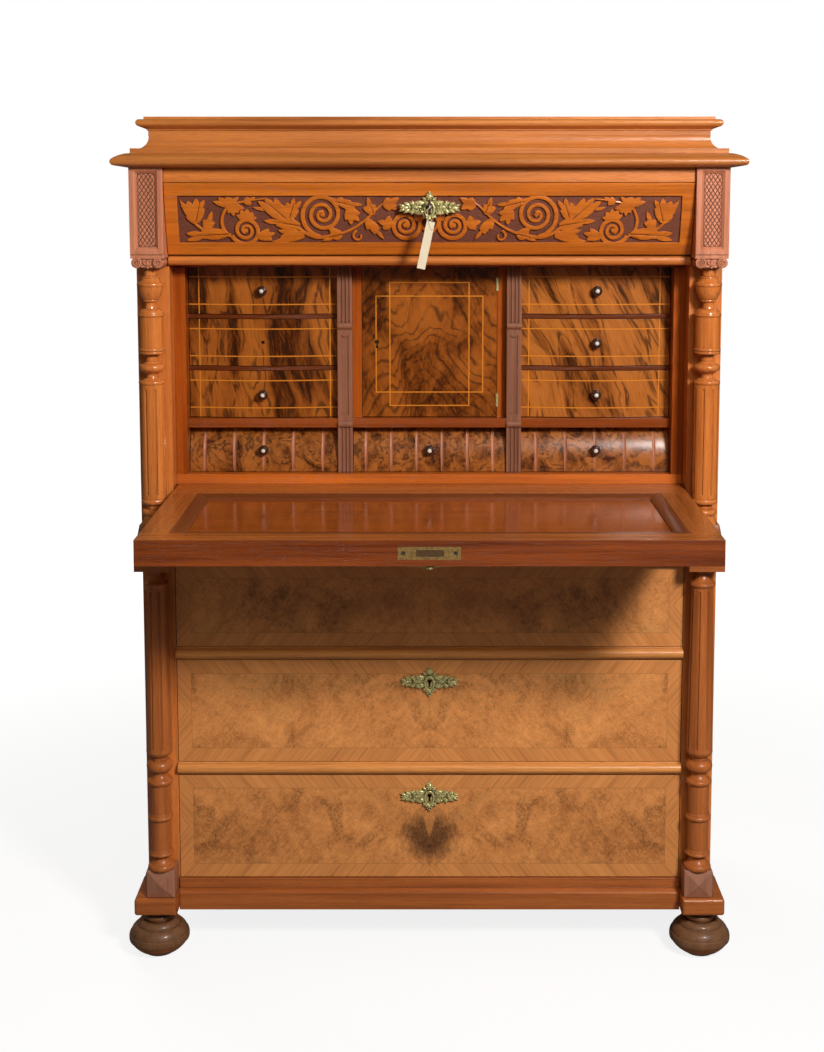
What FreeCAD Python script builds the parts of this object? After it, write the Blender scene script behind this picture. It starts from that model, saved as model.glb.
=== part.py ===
import FreeCAD, Part
import math
import os

# A drop-front secretary in walnut, drawn with its fall lowered as a writing desk.
# Lengths are millimetres: x to the right, y to the back, z up from the floor.
# Shapes are drawn with y = 0 at the stile faces and saved centred on the footprint.

# Case
case_width = 1004
case_depth = 450
stile_width = 56
stile_depth = 46
side_thickness = 22
back_thickness = 12
back_board_count = 5
back_board_gap = 2
back_lap = 10
dust_board_thickness = 12
guide_height = 25
running_gap = 0.3
overrun = 6

# Feet and base
foot_height = 81
foot_radius = 53.5
foot_set_back = 40
rear_foot_inset = 58
plinth_height = 30
plinth_projection = 52
plinth_overhang = 18
plinth_round = 5
base_drop = 6
base_fascia_projection = 14
base_step_height = 18
base_step_projection = 4
rear_block_depth = 92
# Rows from the floor up: height part, then radius shares at its foot, middle and head.
foot_shares = [
    (4, 0.50, None, 0.56),
    (20, 0.60, 0.84, 0.97),
    (12, 0.99, 1.00, 0.98),
    (15, 0.95, 0.90, 0.75),
    (10, 0.71, 0.68, 0.54),
    (2, 0.45, None, 0.45),
    (8, 0.47, 0.51, 0.47),
    (10, 0.41, None, 0.41),
]

# Long drawers and the rails between them
low_drawer_height = 189
middle_drawer_height = 185
top_drawer_height = 147
drawer_reveal = 1
rail_height = 23
bead_height = 18
bead_projection = 10
drawer_front_thickness = 22
drawer_side_thickness = 12
drawer_bottom_thickness = 8
drawer_bottom_lift = 6
drawer_side_drop = 16
drawer_back_gap = 8

# Waist, between the long drawers and the writing compartment
waist_height = 30
waist_projection = 24
waist_block_projection = 56
waist_block_overhang = 5
fall_rail_height = 51

# Columns, dies, capitals and frieze blocks
column_inset = 28
column_projection = 27
die_size = 49
die_projection = 42
die_point = 8
capital_height = 25
capital_projection = 54
abacus_height = 7
volute_radius = 9
volute_sink = 2
volute_inset = 1
capital_bell_radius = 17
capital_cushion_recess = 3
capital_cushion_lift = 3
block_height = 145
block_projection = 56
block_panel_width = 29
block_panel_bevel = 5
block_panel_depth = 5
block_panel_margin = 8
upper_shaft_radius = 20.5
lower_shaft_radius = 23.5
flute_count = 8
flute_radius = 2
flute_depth = 1.7
flute_end_gap = 9
upper_column_shares = [
    (16, 1.08, None, 0.86),
    (10, 0.86, 1.03, 0.72),
    (10, 0.64, None, 0.64),
    (9, 1.00, 1.10, 1.00),
    (198, 1.04, None, 1.04),
    (6, 1.06, 1.12, 1.06),
    (4, 0.92, 0.76, 0.66),
    (9, 0.52, 0.46, 0.50),
    (3, 0.64, None, 0.76),
    (13, 0.84, 1.09, 0.84),
    (4, 0.74, 0.62, 0.56),
    (10, 0.50, None, 0.48),
    (3, 0.66, None, 0.66),
    (5, 1.02, 1.08, 1.02),
    (5, 1.05, 1.11, 1.05),
    (54, 1.02, None, 1.02),
    (5, 1.06, 1.12, 1.06),
    (8, 1.03, 0.95, 0.66),
    (12, 0.52, 0.46, 0.50),
    (4, 0.62, 0.67, 0.62),
    (22, 0.68, 0.96, 1.05),
    (6, 1.07, 1.12, 1.07),
    (8, 1.01, 0.82, 0.72),
    (3, 0.70, 0.74, 0.70),
    (11, 0.54, None, 0.52),
    (2, 0.62, None, 0.62),
]
upper_rows_below_shaft_count = 4
lower_column_shares = [
    (9, 0.95, 1.01, 0.93),
    (11, 0.86, 0.64, 0.54),
    (6, 0.52, None, 0.52),
    (5, 0.87, 0.93, 0.87),
    (5, 0.85, None, 0.80),
    (55, 0.77, None, 0.77),
    (7, 0.87, 0.94, 0.87),
    (5, 0.85, None, 0.80),
    (53, 0.77, None, 0.77),
    (8, 0.89, 0.96, 0.89),
    (8, 0.85, 0.66, 0.58),
    (6, 0.57, None, 0.57),
    (21, 0.64, 0.98, 0.64),
    (7, 0.60, None, 0.60),
    (8, 0.66, 0.88, 0.97),
    (297, 0.98, None, 0.81),
    (7, 0.87, 0.93, 0.87),
    (14, 0.80, 0.52, 0.42),
    (10, 0.41, None, 0.41),
]
lower_rows_below_shaft_count = 15

# Frieze
fall_top_gap = 4
torus_height = 18
torus_projection = 12
frieze_drawer_height = 122
frieze_rail_height = 24
frieze_projection = 48
frieze_foot_projection = 13
frieze_belly_share = 0.34
frieze_back = 10
carved_panel_width = 848
carved_panel_height = 79
carved_panel_lift = 21
carved_panel_depth = 4

# Cornice: outlines are shares of each moulding's projection and height.
cornice_inset = 31
cornice_core_projection = 24
cornice_wall = 40
cornice_back_thickness = 20
bed_projection = 57
bed_height = 24
bed_under_share = 0.57
bed_chin_share = 0.91
bed_chin_height_share = 0.15
bed_nose_height_share = 0.41
bed_brow_share = 0.96
bed_brow_height_share = 0.62
bed_shoulder_share = 0.75
bed_shoulder_height_share = 0.89
bed_top_share = 0.52
cove_projection = 28.5
cove_fillet_height = 8
cove_height = 38
cove_foot_share = 0.50
cove_waist_share = 0.14
cove_waist_height_share = 0.45
cove_neck_share = 0.06
cove_neck_height_share = 0.80
crown_projection = 20
crown_height = 23
crown_neck_share = 0.20
crown_neck_height = 2
crown_chin_share = 0.82
crown_chin_height_share = 0.31
crown_nose_height_share = 0.54
crown_brow_share = 0.70
crown_fillet_height = 4.5
crown_fillet_share = 0.41

# Fall front
fall_thickness = 40
fall_length = 405
fall_heel = 30
fall_heel_radius = 12
fall_side_gap = 3
fall_border = 45
fall_hinge_border = 60
fall_panel_thickness = 26
fall_moulding_width = 22
fall_moulding_toe = 2
pivot_rise = 33
pivot_radius = 5
pivot_clearance = 0.05
pivot_plate_length = 60
pivot_plate_width = 24
pivot_plate_thickness = 2.5
pivot_reach = 13
bush_radius = 9
bush_length = 16

# Nest of small drawers behind the fall
nest_clearance = 1
nest_front = 76
nest_lining = 20
nest_floor_thickness = 17
nest_top_thickness = 12
base_row_height = 81
mid_shelf_thickness = 16
mid_shelf_front = 58
stack_shelf_thickness = 7
stack_shelf_nose = 2
stack_row_count = 3
cupboard_width = 272
partition_thickness = 26
post_width = 16
post_depth = 22
stack_bow = 10
bow_flare_share = 0.30
bow_flare_rise_share = 0.30
bow_flare_mid_share = 0.09
nest_front_thickness = 16
nest_side_thickness = 8
nest_bottom_thickness = 5
nest_back_gap = 24
base_row_foot = 62
base_row_belly = 66
base_row_head = 86
base_flute_count = 5
centre_flute_count = 6
base_flute_width = 6
base_flute_depth = 1.6
base_flute_length_share = 0.88
pilaster_front = 57
pilaster_back = 79
bracket_projection = 4
bracket_height = 12
upper_bracket_share = 0.59
pilaster_reed_radius = 2
pilaster_reed_count = 3
pilaster_panel_width = 12
pilaster_panel_depth = 1.5
pilaster_panel_margin = 8

# Cupboard door and its butt hinges
door_gap = 0.7
door_thickness = 16
hinge_height = 24
hinge_inset = 18
hinge_leaf = 1.2
hinge_leaf_depth = 13
knuckle_radius = 2.6
knuckle_proud = 1
knuckle_gap = 0.3
hinge_pin_radius = 1.4
hinge_pin_clearance = 0.05
door_key_inset = 26
door_lock_width = 40
door_lock_height = 50
door_lock_thickness = 9

# Knobs
knob_length = 24
knob_seat = 3
knob_radius = 9
knob_shank_radius = 3
knob_shank_length = 11
knob_hole_clearance = 0.1
knob_shares = [
    (6, 0.72, None, 0.72),
    (4, 0.50, None, 0.46),
    (8, 0.62, 1.00, 0.78),
    (2, 0.62, None, 0.56),
    (4, 0.44, 0.40, 0.12),
]

# Locks, escutcheons, key and tag
escutcheon_width = 95
escutcheon_height = 47
escutcheon_thickness = 3
lock_drop = 38
frieze_lock_drop = 41
fall_escutcheon_width = 76
fall_escutcheon_height = 37
fall_lock_inset = 22.5
lobe_shares = [
    (0, 0, 0.34),
    (0, 0.36, 0.14),
    (0, -0.36, 0.14),
    (0.17, 0.03, 0.20),
    (0.30, -0.02, 0.16),
    (0.41, 0.04, 0.13),
    (0.46, -0.05, 0.08),
]
keyhole_radius = 4
keyhole_slot = 3.6
keyhole_drop = 11
lock_width = 64
lock_height = 46
lock_thickness = 14
lock_wall = 3
lock_cavity_radius = 12
bolt_width = 16
bolt_thickness = 6
bolt_height = 18
bolt_drop = 2
bolt_travel = 8
key_radius = 2.5
key_clearance = 0.05
key_bit_length = 9
key_bit_thickness = 2.2
key_bow_radius = 10.5
key_bow_wire = 2.2
key_neck = 12
key_collar_radius = 4
key_collar_length = 4
tag_loop_radius = 7.5
tag_loop_offset = 3
tag_wire = 0.5
tag_hole_radius = 1.2
tag_thread_run = 11
tag_thread_drop = 29
tag_length = 80
tag_width = 14
tag_thickness = 0.6
tag_top_margin = 13
tag_hole_inset = 3
tag_slant_deg = 12
fall_plate_length = 95
fall_plate_width = 20
fall_plate_thickness = 2
fall_lock_length = 70
fall_lock_depth = 26
fall_lock_thickness = 14
fall_screw_radius = 3.2
fall_screw_inset = 8
fall_screw_recess = 1

# Levels, from the floor up
plinth_top = foot_height + plinth_height
base_top = plinth_top + base_step_height
low_rail_z = base_top + low_drawer_height + 2 * drawer_reveal
low_rail_top = low_rail_z + rail_height
middle_rail_z = low_rail_top + middle_drawer_height + 2 * drawer_reveal
middle_rail_top = middle_rail_z + rail_height
waist_z = middle_rail_top + top_drawer_height + 2 * drawer_reveal
waist_top = waist_z + waist_height
fall_rail_top = waist_top + fall_rail_height
pivot_z = fall_rail_top + pivot_rise
fall_low_z = pivot_z - fall_thickness / 2
fall_high_z = pivot_z + fall_thickness / 2
torus_z = pivot_z + fall_length + fall_top_gap
torus_top = torus_z + torus_height
frieze_drawer_z = torus_top + drawer_reveal
frieze_drawer_top = frieze_drawer_z + frieze_drawer_height
frieze_rail_z = frieze_drawer_top + drawer_reveal
cornice_z = frieze_rail_z + frieze_rail_height
block_z = cornice_z - block_height
capital_z = block_z - capital_height
upper_die_top = waist_top + die_size
lower_die_top = plinth_top + die_size
nest_floor_z = fall_high_z + running_gap
nest_floor_top = nest_floor_z + nest_floor_thickness
nest_top_z = torus_top - dust_board_thickness - nest_top_thickness
mid_shelf_z = nest_floor_top + base_row_height
mid_shelf_top = mid_shelf_z + mid_shelf_thickness
stack_pitch = (nest_top_z - mid_shelf_top + stack_shelf_thickness) / stack_row_count
stack_height = stack_pitch - stack_shelf_thickness

# Planes across the width and the depth
half_case = case_width / 2
stile_inner = half_case - stile_width
side_inner = half_case - side_thickness
drawer_half = stile_inner - drawer_reveal
back_inner = case_depth - back_thickness
column_x = half_case - column_inset
plinth_outer = half_case + plinth_overhang
foot_x = (stile_inner + plinth_outer) / 2
pivot_y = fall_thickness / 2
fall_front_y = pivot_y - fall_length
fall_heel_y = pivot_y + fall_heel
fall_half = stile_inner - fall_side_gap
fall_open_half = fall_half - fall_border
fall_open_front = fall_front_y + fall_border
fall_open_back = pivot_y - fall_hinge_border
nest_floor_front = pivot_y + fall_thickness / 2 + nest_clearance
lining_inner = stile_inner - nest_lining
partition_inner = cupboard_width / 2
partition_outer = partition_inner + partition_thickness
post_inner = partition_inner - post_width
door_half = post_inner - door_gap
hinge_x = post_inner - door_gap / 2
hinge_y = nest_front - knuckle_proud
origin_shift = -(fall_front_y + case_depth) / 2

V = FreeCAD.Vector
UP = V(0, 0, 1)
BACK = V(0, 1, 0)
RIGHT = V(1, 0, 0)
os.makedirs("parts", exist_ok=True)


def box(x0, x1, y0, y1, z0, z1):
    return Part.makeBox(x1 - x0, y1 - y0, z1 - z0, V(x0, y0, z0))


def rod(radius, start, direction, length):
    return Part.makeCylinder(radius, length, start, direction)


def pair(solid):
    """A solid on the right and its mirror image on the left."""
    return [solid, solid.mirror(V(0, 0, 0), RIGHT)]


def wire(points, place):
    """Closed wire: a pair is joined by a line, a foursome by an arc through its first point."""
    edges = []
    here = place(*points[0])
    for step in points[1:] + points[:1]:
        there = place(*step[-2:])
        if len(step) == 4:
            edges.append(Part.Arc(here, place(*step[:2]), there).toShape())
        elif not there.isEqual(here, running_gap / overrun):
            edges.append(Part.LineSegment(here, there).toShape())
        here = there
    return Part.Wire(edges)


def bar_x(points, x0, x1):
    """A (y, z) outline drawn out along x."""
    return Part.Face(wire(points, lambda y, z: V(x0, y, z))).extrude(V(x1 - x0, 0, 0))


def bar_y(points, y0, y1):
    """An (x, z) outline drawn out along y."""
    return Part.Face(wire(points, lambda x, z: V(x, y0, z))).extrude(V(0, y1 - y0, 0))


def bar_z(points, z0, z1):
    """An (x, y) outline drawn out along z."""
    return Part.Face(wire(points, lambda x, y: V(x, y, z0))).extrude(V(0, 0, z1 - z0))


def turned(rows, height, radius):
    """A turning that stands on the origin, from rows of height part and radius shares."""
    whole = sum(row[0] for row in rows)
    points = [(0, 0)]
    z = 0
    for part, low, middle, high in rows:
        rise = height * part / whole
        points.append((radius * low, z))
        if middle is None:
            points.append((radius * high, z + rise))
        else:
            points.append((radius * middle, z + rise / 2, radius * high, z + rise))
        z += rise
    points.append((0, height))
    return Part.Face(wire(points, lambda r, z: V(r, 0, z))).revolve(V(0, 0, 0), UP, 360)


def row_span(rows, row, height):
    """Lowest and highest level of one row of a turning."""
    whole = sum(part[0] for part in rows)
    start = sum(part[0] for part in rows[:row])
    return height * start / whole, height * (start + rows[row][0]) / whole


def fluted_column(rows, shaft_row, height, radius):
    """A turned column whose long shaft carries round-ended flutes."""
    low, high = row_span(rows, shaft_row, height)
    rise_low = low + flute_end_gap
    rise_high = high - flute_end_gap
    foot, head = radius * rows[shaft_row][1], radius * rows[shaft_row][3]
    out = flute_radius - flute_depth
    tools = []
    for step in range(flute_count):
        turn = 2 * math.pi * (step + 0.5) / flute_count
        aim = V(math.cos(turn), math.sin(turn), 0)
        start = aim * (foot + out) + UP * rise_low
        end = aim * (head + out) + UP * rise_high
        tools.append(rod(flute_radius, start, end - start, (end - start).Length))
        tools.append(Part.makeSphere(flute_radius, start))
        tools.append(Part.makeSphere(flute_radius, end))
    return turned(rows, height, radius).cut(tools)


def moved(solid, x, y, z):
    copy = solid.copy()
    copy.translate(V(x, y, z))
    return copy


def pyramid(corners, tip):
    """A closed pyramid on four corners in order."""
    ring = corners + corners[:1]
    faces = [Part.Face(Part.makePolygon(ring))]
    for a, b in zip(ring[:-1], ring[1:]):
        faces.append(Part.Face(Part.makePolygon([a, b, tip, a])))
    return Part.Solid(Part.Shell(faces))


def tapered(x0, x1, y0, z0, z1, y1, bevel):
    """A pocket in a face at y0, narrowed by a bevel on every side at its floor y1."""
    mouth = [(x0, z0), (x1, z0), (x1, z1), (x0, z1)]
    floor = [(x0 + bevel, z0 + bevel), (x1 - bevel, z0 + bevel)]
    floor += [(x1 - bevel, z1 - bevel), (x0 + bevel, z1 - bevel)]
    rings = [wire(mouth, lambda x, z: V(x, y0, z)), wire(floor, lambda x, z: V(x, y1, z))]
    return Part.makeLoft(rings, True, True)


def drawer_box(x0, x1, y0, y1, z0, z1, side, bottom):
    """Two sides, a back and a bottom board, open above and closed in front by the drawer front."""
    floor = z0 + drawer_bottom_lift
    left = box(x0, x0 + side, y0, y1, z0, z1)
    right = box(x1 - side, x1, y0, y1, z0, z1)
    back = box(x0 + side, x1 - side, y1 - side, y1, z0, z1)
    board = box(x0 + side, x1 - side, y0, y1 - side, floor, floor + bottom)
    return [left, right, back, board]


def keyhole(x, z, y0, y1):
    barrel = rod(keyhole_radius, V(x, y0, z), BACK, y1 - y0)
    slot = box(x - keyhole_slot / 2, x + keyhole_slot / 2, y0, y1, z - keyhole_drop, z)
    return barrel.fuse(slot)


def escutcheon(width, height, y0, y1, z):
    """A lobed cast plate about (0, z) with a keyhole through it."""
    lobes = []
    for across, up, size in lobe_shares:
        for side in (1, -1):
            spot = V(side * across * width, y0, z + up * height)
            lobes.append(rod(size * height, spot, BACK, y1 - y0))
    plate = lobes[0].multiFuse(lobes[1:]).removeSplitter()
    return plate.cut(keyhole(0, z, y0 - overrun, y1 + overrun))


def save(node, solids):
    shape = Part.makeCompound(solids)
    shape.translate(V(0, origin_shift, 0))
    shape.exportStep(f"parts/{node}.step")


# Case sides, stiles and back boards
save("case_sides", pair(box(side_inner, half_case, stile_depth, case_depth, foot_height, cornice_z)))

stile = box(stile_inner, half_case, 0, stile_depth, plinth_top, cornice_z)
bush_seat = rod(bush_radius, V(stile_inner, pivot_y, pivot_z), RIGHT, bush_length)
save("front_stiles", pair(stile.cut(bush_seat)))

# The inner half of each back board laps under the next board, which closes the gap between them.
board_width = (2 * side_inner + back_board_gap) / back_board_count
lap_y = (back_inner + case_depth) / 2
back_boards = []
for count in range(back_board_count):
    left = -side_inner + count * board_width
    right = left + board_width - back_board_gap
    lap_left = left + back_lap if count > 0 else left
    lap_right = min(right + back_lap, side_inner)
    outline = [
        (lap_left, back_inner),
        (lap_right, back_inner),
        (lap_right, lap_y),
        (right, lap_y),
        (right, case_depth),
        (left, case_depth),
        (left, lap_y),
        (lap_left, lap_y),
    ]
    back_boards.append(bar_z(outline, foot_height, cornice_z))
save("back_boards", back_boards)

# Dust boards across the case, with a guide strip on each side of a drawer
board_tops = {
    "low": base_top,
    "middle": low_rail_top,
    "top": middle_rail_top,
    "waist": waist_z + dust_board_thickness,
    "frieze": torus_top,
    "lid": cornice_z,
}
dust_boards = []
for top in board_tops.values():
    low = top - dust_board_thickness
    dust_boards.append(box(-side_inner, side_inner, stile_depth, back_inner, low, top))
for level in ("low", "middle", "top", "frieze"):
    top = board_tops[level]
    dust_boards += pair(box(stile_inner, side_inner, stile_depth, back_inner, top, top + guide_height))
save("dust_boards", dust_boards)

# Feet, plinth blocks and base rail
foot = turned(foot_shares, foot_height, foot_radius)
front_foot_y = foot_set_back - plinth_projection
rear_foot_y = case_depth - rear_foot_inset
save("bun_feet", pair(moved(foot, foot_x, front_foot_y, 0)) + pair(moved(foot, foot_x, rear_foot_y, 0)))

front_block = box(stile_inner, plinth_outer, -plinth_projection, stile_depth, foot_height, plinth_top)
front_rims = [edge for edge in front_block.Edges if edge.CenterOfMass.y < -plinth_projection + running_gap]
outer_rims = [
    edge
    for edge in front_block.Edges
    if edge.CenterOfMass.x > plinth_outer - running_gap and abs(edge.CenterOfMass.y) < plinth_projection / 2
]
front_block = front_block.makeFillet(plinth_round, front_rims + outer_rims)
rear_block = box(
    stile_inner,
    side_inner,
    back_inner - rear_block_depth,
    back_inner,
    foot_height,
    base_top - dust_board_thickness,
)
waist_block = box(
    stile_inner,
    half_case + waist_block_overhang,
    -waist_block_projection,
    0,
    waist_z,
    waist_top,
)
save("plinth_blocks", pair(front_block) + pair(rear_block) + pair(waist_block))

base_outline = [
    (stile_depth, foot_height - base_drop),
    (-base_fascia_projection, foot_height - base_drop),
    (-base_fascia_projection, plinth_top - base_drop),
    (-base_fascia_projection + base_drop / 2, plinth_top - base_drop / 2, -base_step_projection, plinth_top),
    (-base_step_projection, base_top),
    (stile_depth, base_top),
]
save("base_rail", [bar_x(base_outline, -stile_inner, stile_inner)])


def nosed_rail(z0, z1, nose_z, nose_height, projection):
    """A rail between the stiles whose face carries a rounded nose on a straight run."""
    run = max(0, projection - nose_height / 2)
    outline = [
        (stile_depth, z0),
        (0, z0),
        (0, nose_z),
        (-run, nose_z),
        (-projection, nose_z + nose_height / 2, -run, nose_z + nose_height),
        (0, nose_z + nose_height),
        (0, z1),
        (stile_depth, z1),
    ]
    return bar_x(outline, -stile_inner, stile_inner)


bead_lift = (rail_height - bead_height) / 2
low_rail = nosed_rail(low_rail_z, low_rail_top, low_rail_z + bead_lift, bead_height, bead_projection)
middle_rail = nosed_rail(
    middle_rail_z, middle_rail_top, middle_rail_z + bead_lift, bead_height, bead_projection
)
save("drawer_rails", [low_rail, middle_rail])

waist_rail = nosed_rail(waist_z, waist_top, waist_z, waist_height, waist_projection)
fall_rail = box(-stile_inner, stile_inner, 0, stile_depth, waist_top, fall_rail_top)
save("waist_rail", [waist_rail, fall_rail])

# Columns with their dies, capitals and frieze blocks
def column_die(z):
    """A cube with a low pyramid on its front and on its outer side."""
    x0, x1 = column_x - die_size / 2, column_x + die_size / 2
    y0, z1 = -die_projection, z + die_size
    front = [V(x0, y0, z), V(x1, y0, z), V(x1, y0, z1), V(x0, y0, z1)]
    outer = [V(x1, y0, z), V(x1, 0, z), V(x1, 0, z1), V(x1, y0, z1)]
    front_tip = V(column_x, y0 - die_point, z + die_size / 2)
    outer_tip = V(x1 + die_point, y0 / 2, z + die_size / 2)
    cube = box(x0, x1, y0, 0, z, z1)
    return cube.multiFuse([pyramid(front, front_tip), pyramid(outer, outer_tip)])


save("column_dies", pair(column_die(plinth_top)) + pair(column_die(waist_top)))

lower_height = waist_z - lower_die_top
lower_column = fluted_column(
    lower_column_shares, lower_rows_below_shaft_count, lower_height, lower_shaft_radius
)
save("lower_columns", pair(moved(lower_column, column_x, -column_projection, lower_die_top)))

upper_height = capital_z - upper_die_top
upper_column = fluted_column(
    upper_column_shares, upper_rows_below_shaft_count, upper_height, upper_shaft_radius
)
save("upper_columns", pair(moved(upper_column, column_x, -column_projection, upper_die_top)))

abacus_z = block_z - abacus_height
volute_z = abacus_z - volute_radius + volute_sink
volute_x = stile_width / 2 - volute_radius - volute_inset
capital_pieces = [
    rod(capital_bell_radius, V(column_x, -column_projection, capital_z), UP, abacus_z - capital_z),
    rod(volute_radius, V(column_x - volute_x, -capital_projection, volute_z), BACK, capital_projection),
    rod(volute_radius, V(column_x + volute_x, -capital_projection, volute_z), BACK, capital_projection),
    box(
        column_x - volute_x,
        column_x + volute_x,
        capital_cushion_recess - capital_projection,
        0,
        capital_z + capital_cushion_lift,
        abacus_z,
    ),
]
abacus = box(stile_inner, half_case, -capital_projection, 0, abacus_z, block_z)
save("capitals", pair(abacus.multiFuse(capital_pieces)))

block = box(stile_inner, half_case, -block_projection, 0, block_z, cornice_z)
panel_half = block_panel_width / 2 + block_panel_bevel
lattice_pocket = tapered(
    column_x - panel_half,
    column_x + panel_half,
    -block_projection,
    block_z + block_panel_margin,
    cornice_z - block_panel_bevel,
    -block_projection + block_panel_depth,
    block_panel_bevel,
)
save("frieze_blocks", pair(block.cut(lattice_pocket)))

# Frieze rails above and below the frieze drawer, with a mortise for the lock bolt
torus_rail = nosed_rail(torus_z, torus_top, torus_z, torus_height, torus_projection)
bolt_y = frieze_back + lock_wall
bolt_mortise = box(
    -bolt_width / 2 - drawer_reveal,
    bolt_width / 2 + drawer_reveal,
    bolt_y,
    bolt_y + bolt_thickness + 2 * drawer_reveal,
    frieze_rail_z - overrun,
    frieze_rail_z + bolt_travel + drawer_reveal,
)
frieze_rail = box(-stile_inner, stile_inner, -frieze_projection, stile_depth, frieze_rail_z, cornice_z)
save("frieze_rails", [torus_rail, frieze_rail.cut(bolt_mortise)])


# Cornice in three mouldings, mitred at the front corners
def mapped(outline, place):
    """The same outline with each (projection, height) pair put through place."""
    steps = []
    for step in outline:
        pairs = [place(out, rise) for out, rise in zip(step[::2], step[1::2])]
        steps.append(sum(pairs, ()))
    return steps


def mitred(outline, z0):
    """A moulding round the front and sides, from (projection, height) points on its profile."""
    half = half_case - cornice_inset
    front = -cornice_core_projection
    low, high = z0 + outline[0][1], z0 + outline[-1][-1]
    profile = mapped(outline, lambda out, rise: (front - out, z0 + rise))
    profile += [(case_depth, high), (case_depth, low)]
    side = mapped(outline, lambda out, rise: (half + out, z0 + rise))
    side += [(0, high), (0, low)]
    reach = half + bed_projection + overrun
    long_bar = bar_x(profile, -reach, reach)
    ends = bar_y(side, front - bed_projection - overrun, case_depth + overrun)
    return long_bar.common(ends.fuse(ends.mirror(V(0, 0, 0), RIGHT)).removeSplitter())


def mitred_bars(outline, z0):
    """The same moulding as a front bar, two returns mitred to it and a plain back bar."""
    half = half_case - cornice_inset
    front = -cornice_core_projection
    inner, back = half - cornice_wall, front + cornice_wall
    outer_x, outer_y = half + bed_projection + overrun, front - bed_projection - overrun
    low, high = z0 + outline[0][1], z0 + outline[-1][-1]
    profile = mapped(outline, lambda out, rise: (front - out, z0 + rise))
    profile += [(back, high), (back, low)]
    side = mapped(outline, lambda out, rise: (half + out, z0 + rise))
    side += [(inner, high), (inner, low)]
    front_plan = [(-outer_x, outer_y), (outer_x, outer_y), (inner, back), (-inner, back)]
    side_plan = [(outer_x, outer_y), (outer_x, case_depth), (inner, case_depth), (inner, back)]
    front_room = bar_z(front_plan, low - overrun, high + overrun)
    side_room = bar_z(side_plan, low - overrun, high + overrun)
    front_bar = bar_x(profile, -outer_x, outer_x).common(front_room)
    side_bar = bar_y(side, outer_y, case_depth).common(side_room)
    back_bar = box(-inner, inner, case_depth - cornice_back_thickness, case_depth, low, high)
    return [front_bar] + pair(side_bar) + [back_bar]


cove_z = cornice_z + bed_height
crown_z = cove_z + cove_height
bed_outline = [
    (bed_projection * bed_under_share, 0),
    (bed_projection * bed_chin_share, bed_height * bed_chin_height_share),
    (
        bed_projection,
        bed_height * bed_nose_height_share,
        bed_projection * bed_brow_share,
        bed_height * bed_brow_height_share,
    ),
    (
        bed_projection * bed_shoulder_share,
        bed_height * bed_shoulder_height_share,
        bed_projection * bed_top_share,
        bed_height,
    ),
]
save("cornice_bed", mitred_bars(bed_outline, cornice_z))

cove_outline = [
    (cove_projection, 0),
    (cove_projection, cove_fillet_height),
    (cove_projection * cove_foot_share, cove_fillet_height),
    (
        cove_projection * cove_waist_share,
        cove_height * cove_waist_height_share,
        cove_projection * cove_neck_share,
        cove_height * cove_neck_height_share,
    ),
    (cove_projection * cove_neck_share, cove_height),
]
save("cornice_cove", mitred_bars(cove_outline, cove_z))

crown_neck = crown_projection * crown_neck_share
crown_nose_top = crown_height - crown_fillet_height
crown_outline = [
    (crown_neck, 0),
    (crown_neck, crown_neck_height),
    (crown_projection * crown_chin_share, crown_height * crown_chin_height_share),
    (
        crown_projection,
        crown_height * crown_nose_height_share,
        crown_projection * crown_brow_share,
        crown_nose_top,
    ),
    (crown_projection * crown_fillet_share, crown_nose_top),
    (crown_projection * crown_fillet_share, crown_height),
]
save("cornice_crown", [mitred(crown_outline, crown_z)])

# Fall front, lying open on its pivots
heel_outline = [
    (fall_open_back, fall_low_z),
    (fall_heel_y - fall_heel_radius, fall_low_z),
    (
        fall_heel_y - fall_heel_radius + fall_heel_radius * math.sin(math.pi / 4),
        fall_low_z + fall_heel_radius - fall_heel_radius * math.cos(math.pi / 4),
        fall_heel_y,
        fall_low_z + fall_heel_radius,
    ),
    (fall_heel_y, fall_high_z),
    (fall_open_back, fall_high_z),
]
plate_half = pivot_plate_length / 2
pivot_plate = box(
    fall_half - pivot_plate_thickness,
    fall_half,
    pivot_y - plate_half,
    fall_heel_y - fall_heel_radius,
    pivot_z - pivot_plate_width / 2,
    pivot_z + pivot_plate_width / 2,
)
plate_seats = pair(pivot_plate)
hinge_rail = bar_x(heel_outline, -fall_half, fall_half).cut(plate_seats)
front_rail = box(-fall_half, fall_half, fall_front_y, fall_open_front, fall_low_z, fall_high_z)
fall_stile = box(fall_open_half, fall_half, fall_open_front, fall_open_back, fall_low_z, fall_high_z)
edge_plate = box(
    -fall_plate_length / 2,
    fall_plate_length / 2,
    fall_front_y,
    fall_front_y + fall_plate_thickness,
    pivot_z - fall_plate_width / 2,
    pivot_z + fall_plate_width / 2,
)
lock_y = fall_front_y + fall_plate_thickness
fall_lock_body = box(
    -fall_lock_length / 2,
    fall_lock_length / 2,
    lock_y,
    lock_y + fall_lock_depth,
    pivot_z - fall_lock_thickness / 2,
    pivot_z + fall_lock_thickness / 2,
)
fall_screw_x = fall_plate_length / 2 - fall_screw_inset
fall_screws = pair(
    rod(
        fall_screw_radius,
        V(fall_screw_x, fall_front_y + fall_screw_recess, pivot_z),
        BACK,
        fall_plate_thickness - fall_screw_recess,
    )
)
screw_start = V(fall_screw_x, fall_front_y - overrun, pivot_z)
screw_holes = pair(rod(fall_screw_radius, screw_start, BACK, fall_plate_thickness + overrun))
fall_keyhole = keyhole(0, pivot_z, -overrun, fall_thickness)
fall_keyhole.rotate(V(0, 0, pivot_z), RIGHT, 90)
fall_keyhole.translate(V(0, fall_front_y + fall_lock_inset, -fall_thickness))
front_rail = front_rail.cut([edge_plate, fall_lock_body, fall_keyhole])
save("fall_frame", [hinge_rail, front_rail] + pair(fall_stile.cut(plate_seats)))

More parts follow.
